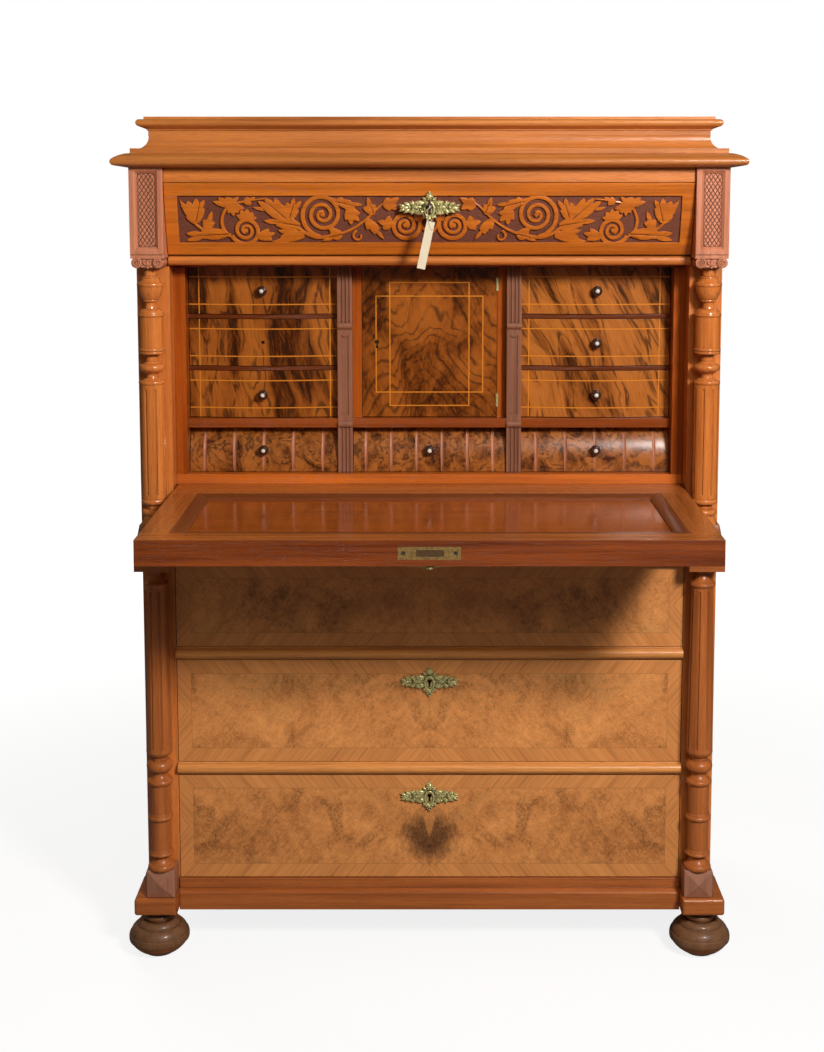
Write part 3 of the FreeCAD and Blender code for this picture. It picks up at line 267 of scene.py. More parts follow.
def drawer_veneer(name, low, high, middle, blot=None, lying=False):
    """Book-matched burr in a mitred border of slanting veneer, mirrored about both middles.

    On a lying panel, depth and height change places.
    """
    finish = Finish(name)
    middle = tone(*middle)
    x, y, z = finish.axes()
    if lying:
        y, z = z, y
        low = low.xzy
        high = high.xzy
    border = 0.0245
    across = finish.math("ABSOLUTE", x)
    upright = finish.math("ABSOLUTE", finish.math("SUBTRACT", z, (low.z + high.z) / 2))
    burr, cloud = burr_colour(finish, finish.vector(across, y, z), middle)
    slant = finish.math("SUBTRACT", across, finish.times(upright, 0.8))
    length = finish.math("ADD", across, upright)
    lay = finish.vector(slant, length, y)
    streak = finish.noise(finish.scaled((210, 6, 6), lay), detail=4, rough=0.65)
    leaf = finish.noise(finish.scaled((22, 2, 2), lay), detail=1)
    band = finish.ramp(finish.blend((streak, 1.3), (leaf, 0.5)), *shades(times(middle, 0.98), 0.42))
    side = finish.math("SUBTRACT", high.x, across)
    end = finish.math("SUBTRACT", (high.z - low.z) / 2, upright)
    rim = finish.math("MINIMUM", side, end)
    colour = finish.mix(finish.math("GREATER_THAN", rim, border), band, burr)
    joint = finish.any(finish.near(rim, border, 0.0006), finish.near(x, 0.0, 0.0004))
    colour = finish.mix(finish.times(joint, 0.4), colour, times(middle, 0.45))
    if blot:
        drop = finish.math("SUBTRACT", blot.z, z)
        here = finish.vector(x, 0.0, z)
        away = finish.add("VectorMath", {0: here, 1: blot}, operation="DISTANCE")
        mirrored = finish.scaled((1, 1, 0.5), finish.vector(across, y, z))
        ragged = finish.noise(mirrored, 60, detail=5, rough=0.7)
        reach = finish.linear(ragged, -0.10, away.outputs["Value"])
        wedge = finish.step(finish.linear(drop, 0.30, across), -0.001, 0.004, 0.3, 1.0)
        eddy = finish.step(finish.math("SINE", finish.times(reach, 620)), -0.6, 0.9, 0.72, 1.0)
        stain = finish.times(finish.step(reach, 0.018, -0.030, 0.0, 0.9), wedge, eddy)
        colour = finish.mix(stain, colour, tone(60, 36, 22))
    finish.set(Base_Color=colour, Coat_Weight=0.10, Coat_Roughness=0.15, Specular_IOR_Level=0.35)
    finish.set(Roughness=finish.linear(cloud, 0.25, 0.30))
    finish.bump(finish.noise(finish.place, 700, detail=2), 0.00008, finish.edge(0.0012)[1])
    return finish.material


def figured(name, scale, lines, middle, strings=None, band=1.0, peak=0.0, lean=0.0, wisp=0.7):
    """Dark figured veneer: broad bands, thin wisps rising to a peak, and pale strings from a mask call."""
    finish = Finish(name)
    x, y, z = finish.axes()
    sway = finish.math("SUBTRACT", finish.noise(finish.place, 9, detail=2), 0.5)
    leaning = finish.linear(z, lean, finish.linear(sway, 0.05, x))
    lay = finish.vector(leaning, y, z)
    wide = finish.noise(finish.scaled(scale, lay), detail=2, rough=0.45, distortion=0.5)
    streak = finish.noise(finish.scaled(times(scale, 4), lay), detail=4, rough=0.62, distortion=0.8)
    fibre = finish.noise(finish.scaled(times(scale, 20), lay), detail=2)
    level = finish.blend((finish.step(wide, 0.36, 0.60), 0.62 * band), (streak, 1.3), (fibre, 0.6))
    dark, middle, light = shades(tone(*middle), 0.66)
    colour = finish.ramp(level, times(dark, 0.5), middle, light)
    slope = finish.times(finish.linear(finish.math("ABSOLUTE", x), 1.1, z), peak)
    growth = finish.rings(finish.scaled(scale, lay), lines, detail=3, distortion=0.8, slope=slope)
    broken = finish.step(streak, 0.66, 0.44, 0.2, 1.0)
    wisps = finish.times(finish.step(growth, 0.30, 0.0), broken)
    colour = finish.mix(finish.times(wisps, wisp), colour, tone(44, 24, 10))
    if strings:
        colour = finish.mix(strings(finish, x, y, z), colour, tone(214, 130, 40))
    finish.set(Base_Color=colour, Coat_Weight=0.5, Coat_Roughness=0.06)
    finish.set(Roughness=finish.linear(wide, 0.14, 0.16))
    finish.bump(finish.noise(finish.place, 500, detail=2), 0.00006, finish.edge(0.0008)[1])
    return finish.material


string_half = 0.0010
string_inset_share = 0.21
string_outer_inset = 0.018
string_inner_inset = 0.013
door_string_drop = 0.004
door_string_halves = ((0.0945, 0.0855), (0.070, 0.1095))
bolt_end_x = 0.001
bolt_end_half_width = 0.021
bolt_end_half_height = 0.0052


def stack_strings(low, high):
    """Two level and two upright strings on a small drawer."""
    inset = string_inset_share * (high.z - low.z)
    outer = max(abs(low.x), abs(high.x)) - string_outer_inset
    inner = min(abs(low.x), abs(high.x)) + string_inner_inset

    def mask(finish, x, y, z):
        across = finish.math("ABSOLUTE", x)
        return finish.any(
            finish.near(z, low.z + inset, string_half),
            finish.near(z, high.z - inset, string_half),
            finish.near(across, outer, string_half),
            finish.near(across, inner, string_half),
        )

    return mask


def door_strings(finish, x, y, z):
    """Two crossing rectangles of string."""
    middle = (door_low.z + door_high.z) / 2 - door_string_drop
    across = finish.math("ABSOLUTE", x)
    upright = finish.math("ABSOLUTE", finish.math("SUBTRACT", z, middle))
    masks = []
    for half_width, half_height in door_string_halves:
        inside_height = finish.math("LESS_THAN", upright, half_height + string_half)
        inside_width = finish.math("LESS_THAN", across, half_width + string_half)
        masks.append(finish.times(finish.near(across, half_width, string_half), inside_height))
        masks.append(finish.times(finish.near(upright, half_height, string_half), inside_width))
    return finish.any(*masks)


def bolt_end(finish, x, y, z):
    """The end of the fall's bolt, which lies flush in its edge plate."""
    inside_width = finish.near(x, bolt_end_x, bolt_end_half_width)
    inside_height = finish.near(z, fall_middle_z, bolt_end_half_height)
    return finish.times(inside_width, inside_height, 0.8)


def metal(name, bright, dull, gloss, metallic=1.0, hollow_reach=0.0, inlay=None):
    """Aged metal: clouds of tarnish, grime and painted shade darkening hollows under a reach, and a dark
    inlay from a mask call.
    """
    finish = Finish(name)
    bright = tone(*bright)
    dull = tone(*dull)
    patch = finish.noise(finish.place, 260, detail=4, rough=0.65)
    fine = finish.noise(finish.place, 1600, detail=2)
    tarnish = finish.step(finish.linear(fine, 0.3, patch), 0.45, 0.85)
    colour = finish.mix(tarnish, bright, dull)
    # Grime and painted shade: hollows under the reach are darkened by an occlusion measure.
    if hollow_reach:
        colour = finish.mix(finish.hollows(hollow_reach), colour, times(dull, 0.16))
    if inlay:
        colour = finish.mix(inlay(finish, *finish.axes()), colour, tone(74, 50, 36))
    finish.set(Base_Color=colour, Metallic=metallic)
    finish.set(Roughness=finish.linear(tarnish, 0.25, gloss))
    finish.bump(patch, 0.0002)
    return finish.material


def card(name):
    """Cream card with faint fibres and handling stains."""
    finish = Finish(name)
    fibre = finish.noise(finish.scaled((900, 900, 240)), detail=3)
    stain = finish.noise(finish.place, 60, detail=3)
    level = finish.linear(stain, 0.5, 0.2)
    colour = finish.ramp(level, tone(214, 196, 164), tone(238, 228, 206))
    colour = finish.mix(finish.step(fibre, 0.55, 0.75, 0.0, 0.25), colour, tone(196, 176, 142))
    finish.set(Base_Color=colour)
    finish.set(Roughness=finish.linear(fibre, 0.2, 0.65))
    finish.bump(fibre, 0.0001)
    return finish.material


def stippled(name, middle):
    """The punched ground behind the carving."""
    finish = Finish(name)
    dots = finish.step(finish.cells(finish.place, 480), 0.10, 0.55)
    cloud = finish.noise(finish.scaled(along(X, 60, 9)), detail=3)
    finish.set(Base_Color=finish.ramp(finish.blend((cloud, 1.0), (dots, 0.35)), *shades(tone(*middle), 0.4)))
    finish.set(Roughness=finish.linear(dots, -0.15, 0.72), Specular_IOR_Level=0.25)
    finish.bump(dots, 0.0006)
    return finish.material


# Finishes, with their 8-bit display colours
# Some wood finishes below are given a reach under which their narrow hollows are darkened with painted
# shade.
walnut = woods("walnut", (X, Z), (212, 122, 56), dirt=0.005)
turned_walnut = wood("turned_walnut", Z, (212, 122, 56), gloss=0.26, coat=0.5, dirt=0.004)
frieze_walnut = wood("frieze_walnut", X, (202, 116, 50), dirt=0.005)
low_walnut = woods("low_walnut", (X, Z), (178, 98, 44), dirt=0.005)
bead_walnut = wood("bead_walnut", X, (222, 146, 76))
cornice = woods("cornice_walnut", (X, Y), (197, 119, 57), figure=0.26)
red_walnut = wood("red_walnut_z", Z, (166, 78, 16), gloss=0.28, coat=0.25)
nest_floor_walnut = wood("nest_floor_walnut", X, (196, 99, 24))
nest_rail_walnut = wood("nest_rail_walnut", X, (140, 63, 10), gloss=0.28, coat=0.25)
shelf_walnut = wood("shelf_walnut", X, (104, 46, 14), gloss=0.24, coat=0.4)
fall_wood = woods("fall_walnut", (X, Y), (176, 101, 45), gloss=0.26, coat=0.35)
fall_edge = wood("fall_edge_walnut", X, (132, 59, 12), spread=0.6, gloss=0.42, coat=0.0, wear=0.15)
dark_walnut = woods("dark_walnut", (X, Y), (116, 60, 28))
matt = {"gloss": 0.48, "coat": 0.0, "spread": 0.34}
plum_walnut = wood("plum_walnut_z", Z, (206, 130, 96), wear=0.7, dirt=0.004, **matt)
groove = wood("lattice_groove", Z, (112, 64, 46), gloss=0.6, coat=0.0, wear=0.0)
die_walnut = wood("die_walnut", Z, (162, 108, 84), wear=0.6, **matt)
# Painted shade: a darker copy of the plum walnut, standing for the shade that the nest pilasters lie in.
shaded_pilaster_walnut = wood("shaded_pilaster_walnut", Z, (142, 90, 66), dirt=0.004, **matt)
rough = {"gloss": 0.58, "coat": 0.0, "wear": 0.2}
lining = woods("drawer_lining", (X, Y), (190, 138, 84), **rough)
back_woods = [
    wood("back_board_a", Z, (194, 142, 88), **rough),
    wood("back_board_b", Z, (168, 116, 66), **rough),
    wood("back_board_c", Z, (180, 130, 80), **rough),
]
foot = wood("foot_walnut", Z, (122, 82, 54), gloss=0.42, wear=0.9, dirt=0.006)
# Painted light: the feet's down-facing facets take a paler finish that stands for the key light falling on
# them.
foot_lit_underside = wood("lit_underside_foot_walnut", Z, (166, 96, 50), gloss=0.5, coat=0.0, wear=0.6)
panel = wood("polished_panel", X, (164, 80, 24), gloss=0.17, coat=0.6, wear=0.2)
carved = wood("carved_relief", X, (200, 106, 24))
ground = stippled("carving_ground", (112, 62, 46))
brass = metal("aged_brass", (236, 226, 164), (168, 156, 92), 0.20, metallic=0.4, hollow_reach=0.003)
lock_tones = ((172, 138, 78), (116, 88, 54))
plate_brass = metal("worn_lock_brass", *lock_tones, 0.36, metallic=0.45, inlay=bolt_end)
steel = metal("dark_steel", (150, 146, 140), (62, 58, 54), 0.34)
tag_card = card("blank_card")
bone = wood("bone_tip", Y, (228, 222, 208), gloss=0.28, wear=0.1, spread=0.15)
knob_wood = wood("knob_walnut", Y, (62, 32, 22), gloss=0.26, coat=0.4)
burr_tone = (216, 141, 78)


# Places on the frame's nodes where one finish ends and another begins
nest_floor_top = 0.854
nest_lining_x = 0.4255
nest_post_x = 0.1195
nest_partition_x = 0.1625
stack_shelf_low = 0.955
stack_shelf_high = 1.215
stack_front_end = 0.0596
lattice_half_panel = 0.016
lattice_least_depth = 0.003
screw_x = 0.0395
screw_reach = 0.0036
blot_rise = 0.078
mitre_slack = 0.0001
panel_slack = 0.001


def dress(names, *finishes, pick=None):
    """Give nodes their finishes; pick says which one a face takes, from its centre and normal."""
    for name in names.split():
        mesh = nodes[name].data
        mesh.materials.clear()
        for finish in finishes:
            mesh.materials.append(finish)
        for polygon in mesh.polygons:
            polygon.material_index = int(pick(polygon.center, polygon.normal)) if pick else 0


def nest_part(centre, normal):
    """0 on level boards of the nest, 1 on standing ones, 2 on its floor, 3 on the stacks' thin shelves."""
    across = abs(centre.x)
    if centre.z < nest_floor_top:
        return 2
    if across > nest_lining_x or nest_post_x < across < nest_partition_x:
        return 1
    return 3 if across > nest_partition_x and stack_shelf_low < centre.z < stack_shelf_high else 0


def lattice_floor_face(centre, normal):
    """The sunk floors of the frieze blocks' panels."""
    sunk = centre.y > block_low.y + lattice_least_depth
    return normal.y < -0.9 and sunk and abs(abs(centre.x) - column_x) < lattice_half_panel


def back_board(centre, normal):
    """The finish of a back board: neighbours differ."""
    board = int((centre.x - back_low.x) / (back_high.x - back_low.x) * back_board_count)
    return board % len(back_woods)


def fall_part(centre, normal):
    """0 on the long rails of the fall, 1 on its side rails, 2 on its front edge."""
    if normal.y < -0.5:
        return 2
    return abs(centre.x) > fall_high.x - fall_margin + mitre_slack


def fall_screw(centre, normal):
    """The two screws of the fall's edge plate."""
    return math.hypot(abs(centre.x) - screw_x, centre.z - fall_middle_z) < screw_reach


def side_face(centre, normal):
    """Faces that look more to the sides than to the front or back."""
    return abs(normal.x) > abs(normal.y) + 0.05


def turned_to(axis, way, least):
    """Pick of the faces whose normal passes a least value, one way along an axis."""
    return lambda centre, normal: way * normal[axis] > least


def circle_through(first, second, third):
    """Centre and radius of the circle through three points of a plane."""
    ax, ay = second - first
    bx, by = third - first
    scale = 2 * (ax * by - ay * bx)
    a = ax * ax + ay * ay
    b = bx * bx + by * by
    offset = Vector(((by * a - ay * b) / scale, (ax * b - bx * a) / scale))
    return first + offset, offset.length


dress("case_sides front_stiles", walnut[Z])
dress("upper_columns", turned_walnut)
dress("lower_columns", low_walnut[Z])
dress("waist_rail", walnut[X])
dress("frieze_rails", frieze_walnut)
dress("base_rail plinth_blocks", low_walnut[X])
dress("drawer_rails", bead_walnut)
dress("cornice_bed cornice_cove cornice_crown", cornice[X], cornice[Y], pick=side_face)
dress("column_dies", die_walnut)
dress("capitals", plum_walnut)
dress("frieze_blocks", plum_walnut, groove, pick=lattice_floor_face)
# The nest pilasters take the darker copy of the plum walnut, which is painted shade.
dress("nest_pilasters", shaded_pilaster_walnut)
# The down-facing facets of the feet take the paler finish of painted light.
dress("bun_feet", foot, foot_lit_underside, pick=turned_to(Z, -1, 0.3))
dress("back_boards", *back_woods, pick=back_board)
dress("dust_boards", lining[X])
dress("nest_case", nest_rail_walnut, red_walnut, nest_floor_walnut, shelf_walnut, pick=nest_part)
dress("fall_frame", fall_wood[X], fall_wood[Y], fall_edge, pick=fall_part)
dress("fall_moulding", dark_walnut[X], dark_walnut[Y], pick=side_face)
dress("fall_lock", plate_brass, steel, pick=fall_screw)
dress("fall_pivots key lock_bolt", steel)
dress("fixed_hinge_parts door_fittings", brass)
dress("low_drawer_lock middle_drawer_lock frieze_drawer_lock", brass)
dress("key_tag", tag_card)

fall_veneer = drawer_veneer("fall_face_veneer", *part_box("writing_panel"), burr_tone, lying=True)
dress("writing_panel", panel, fall_veneer, pick=turned_to(Z, -1, 0.5))

for name in ("low", "middle", "top"):
    low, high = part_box(f"{name}_drawer_front")
    blot = Vector((0.0, 0.0, low.z + blot_rise)) if name == "low" else None
    veneer = drawer_veneer(f"{name}_drawer_veneer", low, high, burr_tone, blot)
    dress(f"{name}_drawer_front", veneer, walnut[X], pick=turned_to(Y, 1, -0.9))
for name in ("low", "middle", "top", "frieze"):
    dress(f"{name}_drawer_box", lining[Y], lining[X], pick=lambda centre, normal: abs(normal.y) > 0.5)

# The bellied frieze front, with its sunk panel
belly_fall = 0.035
belly_middle = 0.0119
carve_half_width = 0.424
carve_low = 1.265
carve_height = 0.079
carve_depth = 0.004
belly_centre, belly_radius = circle_through(
    Vector((frieze_low.y + belly_fall, frieze_low.z)),
    Vector((frieze_low.y + belly_middle, (frieze_low.z + frieze_high.z) / 2)),
    Vector((frieze_low.y, frieze_high.z)),
)


def belly(z):
    """Depth of the frieze front's face at a height."""
    return belly_centre.x - math.sqrt(belly_radius**2 - (z - belly_centre.y) ** 2)


def sunk_face(centre, normal):
    """The sunk ground of the frieze panel."""
    return (
        abs(centre.x) < carve_half_width + panel_slack
        and carve_low - panel_slack < centre.z < carve_low + carve_height + panel_slack
        and normal.y < -0.2
        and centre.y > belly(centre.z) + carve_depth / 2
    )


dress("frieze_drawer_front", carved, ground, pick=sunk_face)

# Small drawers of the nest
# Painted light and shade: the left stack's middle tone is darker and the right stack's lighter, standing for
# shade on the left and the key light from the right.
stack_looks = {
    "left": {"middle": (146, 78, 24), "lean": 0.15, "band": 1.3},
    "right": {"middle": (160, 90, 34), "lean": 0.45, "band": 0.9},
}
for side, look in stack_looks.items():
    for row in ("lower", "middle", "upper"):
        name = f"{row}_{side}_drawer"
        low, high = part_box(name)
        veneer = figured(f"{name}_veneer", (21, 21, 3.6), 7, strings=stack_strings(low, high), **look)
        dress(name, veneer, lining[Y], pick=lambda centre, normal: centre.y > stack_front_end)
burl = figured("base_drawer_burl", (30, 30, 26), 5, (144, 81, 31))
flute_wood = wood("flute_walnut", Z, (176, 108, 76), gloss=0.4, coat=0.1)
# Depth and height of three points on the base drawers' bowed face
base_foot = Vector((0.0295, 0.8543))
base_waist = Vector((0.0335, 0.8938))
base_head = Vector((0.0535, 0.9333))
base_centre, base_radius = circle_through(base_foot, base_waist, base_head)
base_front_end = 0.0734
flute_sink = 0.0009
flute_lean = 0.12


def base_finish(centre, normal):
    """0 on the bowed face of a base drawer, 1 behind its front, 2 in a flute."""
    if centre.y > base_front_end:
        return 1
    sink = base_radius - (Vector((centre.y, centre.z)) - base_centre).length
    return 2 if normal.y < -0.2 and (sink > flute_sink or abs(normal.x) > flute_lean) else 0


for place in ("left", "centre", "right"):
    dress(f"base_{place}_drawer", burl, lining[Y], flute_wood, pick=base_finish)
door_look = {"middle": (146, 77, 22), "band": 0.8, "peak": 6.0, "wisp": 0.6}
dress("cupboard_door", figured("door_veneer", (9, 9, 5), 6, strings=door_strings, **door_look))
tip_length = 0.0022
for name in [name for name in nodes if name.endswith("_knob")]:
    tip_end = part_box(name)[0].y + tip_length
    dress(name, knob_wood, bone, pick=lambda centre, normal: centre.y < tip_end)


# Ornament in relief


def finish_mesh(builder, name, finish, body, crease=0.6):
    """Turn a closed mesh into a piece that rides on a body."""
    bmesh.ops.recalc_face_normals(builder, faces=builder.faces)
    mesh = bpy.data.meshes.new(name)
    builder.to_mesh(mesh)
    builder.free()
    mesh.materials.append(finish)
    for polygon in mesh.polygons:
        polygon.use_smooth = True
    mesh.set_sharp_from_angle(angle=crease)
    piece = bpy.data.objects.new(name, mesh)
    bpy.context.scene.collection.objects.link(piece)
    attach(piece, body)


def turns(count):
    """Evenly spaced angles of a full turn."""
    return [math.tau * step / count for step in range(count)]


def polar(centre, radius, angle):
    """The point of a plane at a distance and an angle from a centre."""
    return Vector(centre) + radius * Vector((math.cos(angle), math.sin(angle)))


def through(points, steps=6):
    """A smooth line through points of a plane."""
    points = [Vector(point) for point in points]
    ends = [2 * points[0] - points[1], *points, 2 * points[-1] - points[-2]]
    line = [points[0]]
    for before, start, end, after in zip(ends, ends[1:], ends[2:], ends[3:]):
        lead = (end - before) / 6
        trail = (after - start) / 6
        for step in range(1, steps + 1):
            share = step / steps
            rest = 1 - share
            line.append(
                rest**3 * start
                + 3 * rest**2 * share * (start + lead)
                + 3 * rest * share**2 * (end - trail)
                + share**3 * end
            )
    return line


def spiral(centre, start_deg, winds, start_radius, end_radius, steps=26):
    """A line that winds in from a start angle; positive winds run anticlockwise."""
    count = round(abs(winds) * steps)
    line = []
    for step in range(count + 1):
        share = step / count
        angle = math.radians(start_deg) + winds * math.tau * share
        radius = start_radius + (end_radius - start_radius) * share**0.85
        line.append(polar(centre, radius, angle))
    return line


class Relief:
    """Outlines in a plane that are joined into one raised sheet."""

    def __init__(self):
        self.points = []
        self.faces = []
        self.cuts = set()

    def outline(self, corners, cut=False):
        turn = sum(first.cross(second) for first, second in zip(corners, corners[1:] + corners[:1]))
        start = len(self.points)
        if cut:
            self.cuts.add(len(self.faces))
        self.points += corners if turn > 0 else corners[::-1]
        self.faces.append(list(range(start, start + len(corners))))

    def ribbon(self, line, start_width, end_width, cut=False):
        """A band along a line, in short pieces on both sides of its middle."""
        last = len(line) - 1
        rows = []
        for index, point in enumerate(line):
            ahead = line[min(index + 1, last)] - line[max(index - 1, 0)]
            width = start_width + (end_width - start_width) * index / last
            side = ahead.orthogonal().normalized() * width / 2
            rows.append((point + side, point, point - side))
        for first, second in zip(rows, rows[1:]):
            self.outline([first[0], first[1], second[1], second[0]], cut)
            self.outline([first[1], first[2], second[2], second[1]], cut)

    def disc(self, centre, radius, count=14):
        self.outline([polar(centre, radius, angle) for angle in turns(count)])
        self.points.append(Vector(centre))

    def leaf(self, base, tips, root=3.0, notch=0.2, swell=0.20):
        """A leaf from its base into pointed lobes, whose tips are given in order around it."""
        base = Vector(base)
        tips = [Vector(tip) for tip in tips]
        reach = sum(tips, Vector((0, 0))) / len(tips)
        side = (reach - base).orthogonal().normalized() * root
        if side.dot(tips[0] - tips[-1]) < 0:
            side = -side
        knots = [base + side]
        for tip, following in zip(tips, tips[1:]):
            knots += [tip, ((tip + following) / 2).lerp(base, notch)]
        knots += [tips[-1], base - side]
        heart = base.lerp(reach, 0.5)
        corners = []
        for start, end in zip(knots, knots[1:]):
            bow = (end - start).orthogonal() * swell
            if bow.dot((start + end) / 2 - heart) < 0:
                bow = -bow
            bend = (start + end) / 2 + bow
            for share in (0, 0.25, 0.5, 0.75):
                corners.append((1 - share) ** 2 * start + 2 * share * (1 - share) * bend + share**2 * end)
        corners.append(knots[-1])
        self.outline(corners)
        for tip in tips:
            self.points += [base.lerp(tip, 0.3), base.lerp(tip, 0.55), base.lerp(tip, 0.75)]

    def solid(self, builder, place, drop, depth):
        """Closed mesh of the sheet; place maps a point and its depth into space."""
        points, _, faces, _, _, sources = delaunay_2d_cdt(self.points, [], self.faces, 0, 0.01)
        kept = []
        for face, source in zip(faces, sources):
            if source and not self.cuts.intersection(source):
                kept.append(face)
        uses = Counter()
        for face in kept:
            for pair in zip(face, face[1:] + face[:1]):
                uses[frozenset(pair)] += 1
        rim = {index for pair, count in uses.items() if count == 1 for index in pair}
        used = sorted({index for face in kept for index in face})
        high = {}
        for index in used:
            high[index] = builder.verts.new(place(points[index], drop if index in rim else 0.0))
        low = {index: builder.verts.new(place(points[index], depth)) for index in used}
        for face in kept:
            builder.faces.new([high[index] for index in face])
            builder.faces.new([low[index] for index in reversed(face)])
            for first, second in zip(face, face[1:] + face[:1]):
                if uses[frozenset((first, second))] == 1:
                    builder.faces.new([high[second], high[first], low[first], low[second]])


# Scrolling leaf carving of the frieze, drawn in millimetres from the panel's outer low corner
stem = 6.0
relief = Relief()
ribbon = relief.ribbon
leaf = relief.leaf
ribbon(through([(24, 46), (30, 31), (45, 20.4), (66, 14.4), (88, 12)]), 3.4, stem)
leaf((30, 33), [(4.5, 74), (18, 70), (32, 75), (46, 72), (46, 57)], 4)
leaf((30, 33), [(13, 44.5)], 3.0)
leaf((46, 20), [(42, 38), (58, 53), (62, 33)], 2.5, notch=0.26)
leaf((84, 14.4), [(40, 22), (12, 15.5), (12, 3), (46, 6)], 3.5)
ribbon(spiral((113.7, 20.4), 200, 2.15, 26, 4), 7.0, 4.6)
relief.disc((113.7, 20.4), 3.6)
leaf((116, 36), [(99, 46), (106, 55), (117, 57), (127, 51), (133, 42)], 7)
leaf((134, 9), [(152, 24), (163, 16), (157, 4)], 4)
climber = through([(82, 12), (75, 26), (74.5, 41.5), (82, 57), (98, 66), (122, 71), (146, 74)])
ribbon(climber, stem, 2.4)
leaf((92, 62), [(60, 69), (70, 76), (84, 77), (104, 77)], 5)
leaf((92, 65), [(84, 50), (94, 45), (102, 50), (113, 57)], 5)
leaf((112, 68), [(118, 77), (132, 77), (124, 63)], 3, notch=0.26)
leaf((182, 38), [(144, 58), (127, 59.5), (136, 70), (147, 76), (165, 76)], 4, notch=0.24)
leaf((186, 37), [(170, 73), (186, 68), (196, 76), (209, 71), (204, 54)], 4, notch=0.26)
leaf((205, 27), [(170, 46), (144, 37), (166, 28)], 5)
ribbon(through([(184, 36), (200, 27), (214, 16), (232, 9), (246, 9)]), 5, stem)
leaf((212, 12), [(168, 21), (172, 10), (150, 3)], 4)
ribbon(spiral((243.8, 47.5), 262, -2.55, 38, 4), 7.2, 5.0)
relief.disc((243.8, 47.5), 4.0)
ribbon(through([(252, 75), (268, 71), (284, 57), (302, 50)]), 4.2, 3.0)
leaf((268, 70), [(276, 77), (291, 71), (311, 64), (300, 54)], 4, notch=0.24)
leaf((286, 56), [(308, 50), (306, 36), (292, 30), (282, 38)], 4, notch=0.24)
leaf((329, 47), [(312, 58), (320, 77), (333, 64)], 3, notch=0.26)
ribbon(through([(240, 8.8), (272, 14.4), (299, 26.4), (323, 44.5), (346, 66), (372, 74)]), 5.2, 2.6)
leaf((346, 64), [(352, 76), (372, 76), (371, 56), (356, 54)], 3)
leaf((276, 15), [(244, 26), (256, 15), (242, 2.4), (270, 4)], 4, notch=0.24)
ribbon(spiral((303, 11), 100, 0.8, 9, 5), 4.5, 3.4)
leaf((318, 40), [(318, 22), (332, 14), (347, 5), (340, 24)], 3, notch=0.24)
ribbon(spiral((383, 29.4), 30, -2.25, 27, 4), 7.2, 4.8)
relief.disc((383, 29.4), 4.0)
leaf((360, 28), [(356, 46), (337, 36), (346, 22)], 5)
leaf((405, 36), [(398, 54), (412, 62), (417, 44)], 4)
ribbon(through([(404, 44), (414, 24), (424, 12)]), 5.0, 3.0)
veins = [
    ((30, 36), (38, 66)), ((84, 14), (24, 11)), ((182, 40), (148, 70)), ((188, 42), (197, 68)),
    ((205, 28), (158, 36)), ((270, 68), (298, 62)), ((330, 50), (322, 70)), ((276, 14), (252, 8)),
]
for vein in veins:
    ribbon(through(vein), 1.1, 0.5, cut=True)


def carving_place(side):
    """Map of the panel's plane to the bellied face, on one side of its middle."""

    def place(point, depth):
        z = carve_low + point.y * MM
        return Vector((side * (carve_half_width - point.x * MM), belly(z) + depth, z))

    return place


edge_drop = 0.0007
root_sink = 0.0003
for side, name in both_sides:
    builder = bmesh.new()
    relief.solid(builder, carving_place(side), edge_drop, carve_depth + root_sink)
    finish_mesh(builder, f"{name}_frieze_carving", carved, "frieze_drawer")

# Lattice of low diamonds in the frieze blocks' panels
lattice_across = 4
lattice_up = 11
lattice_half_width = 0.0145
lattice_foot_margin = 0.013
lattice_head_margin = 0.010
lattice_depth = 0.005
lattice_low = block_low.z + lattice_foot_margin
lattice_high = block_high.z - lattice_head_margin
lattice_floor = block_low.y + lattice_depth
lattice_rise = 0.0009
lattice_gap_share = 0.12
lattice_draw_in = 0.14


def diamond(builder, corners):
    """A closed low block over a flat outline, drawn in towards its top."""
    middle = sum(corners, Vector()) / len(corners)
    corners = [corner.lerp(middle, lattice_gap_share) for corner in corners]
    middle.y -= lattice_rise
    foot = [builder.verts.new(corner) for corner in corners]
    top = []
    for corner in corners:
        head = corner.lerp(middle, lattice_draw_in)
        head.y = middle.y
        top.append(builder.verts.new(head))
    builder.faces.new(foot)
    builder.faces.new(top[::-1])
    for step in range(len(corners)):
        following = (step + 1) % len(corners)
        builder.faces.new([foot[following], foot[step], top[step], top[following]])


def lattice(builder, centre_x):
    """Diamonds over a panel, cut to halves along its edges."""
    cell = Vector((lattice_half_width / lattice_across, (lattice_high - lattice_low) / lattice_up / 2))
    for column in range(2 * lattice_across + 1):
        for row in range(2 * lattice_up + 1):
            if (column + row) % 2:
                continue
            x = centre_x - lattice_half_width + column * cell.x
            z = lattice_low + row * cell.y
            corners = []
            for dx, dz in ((-1, 0), (0, -1), (1, 0), (0, 1)):
                if 0 <= column + dx <= 2 * lattice_across and 0 <= row + dz <= 2 * lattice_up:
                    corners.append(Vector((x + dx * cell.x, lattice_floor, z + dz * cell.y)))
            if len(corners) > 2:
                diamond(builder, corners)


for side, name in both_sides:
    builder = bmesh.new()
    lattice(builder, side * column_x)
    finish_mesh(builder, f"{name}_block_lattice", plum_walnut, "carcass", crease=0.2)


def bridge(builder, rounds):
    """Faces between neighbouring rounds of points."""
    count = len(rounds[0])
    for first, second in zip(rounds, rounds[1:]):
        for step in range(count):
            following = (step + 1) % count
            builder.faces.new([first[step], first[following], second[following], second[step]])


def hoop(builder, point, ahead, radius, sides):
    """A round of points about a line that runs ahead in a plane facing the front."""
    out = Vector((0, -1, 0))
    across = ahead.normalized().cross(out).normalized()
    rim = [point + radius * (math.cos(a) * across + math.sin(a) * out) for a in turns(sides)]
    return [builder.verts.new(corner) for corner in rim]


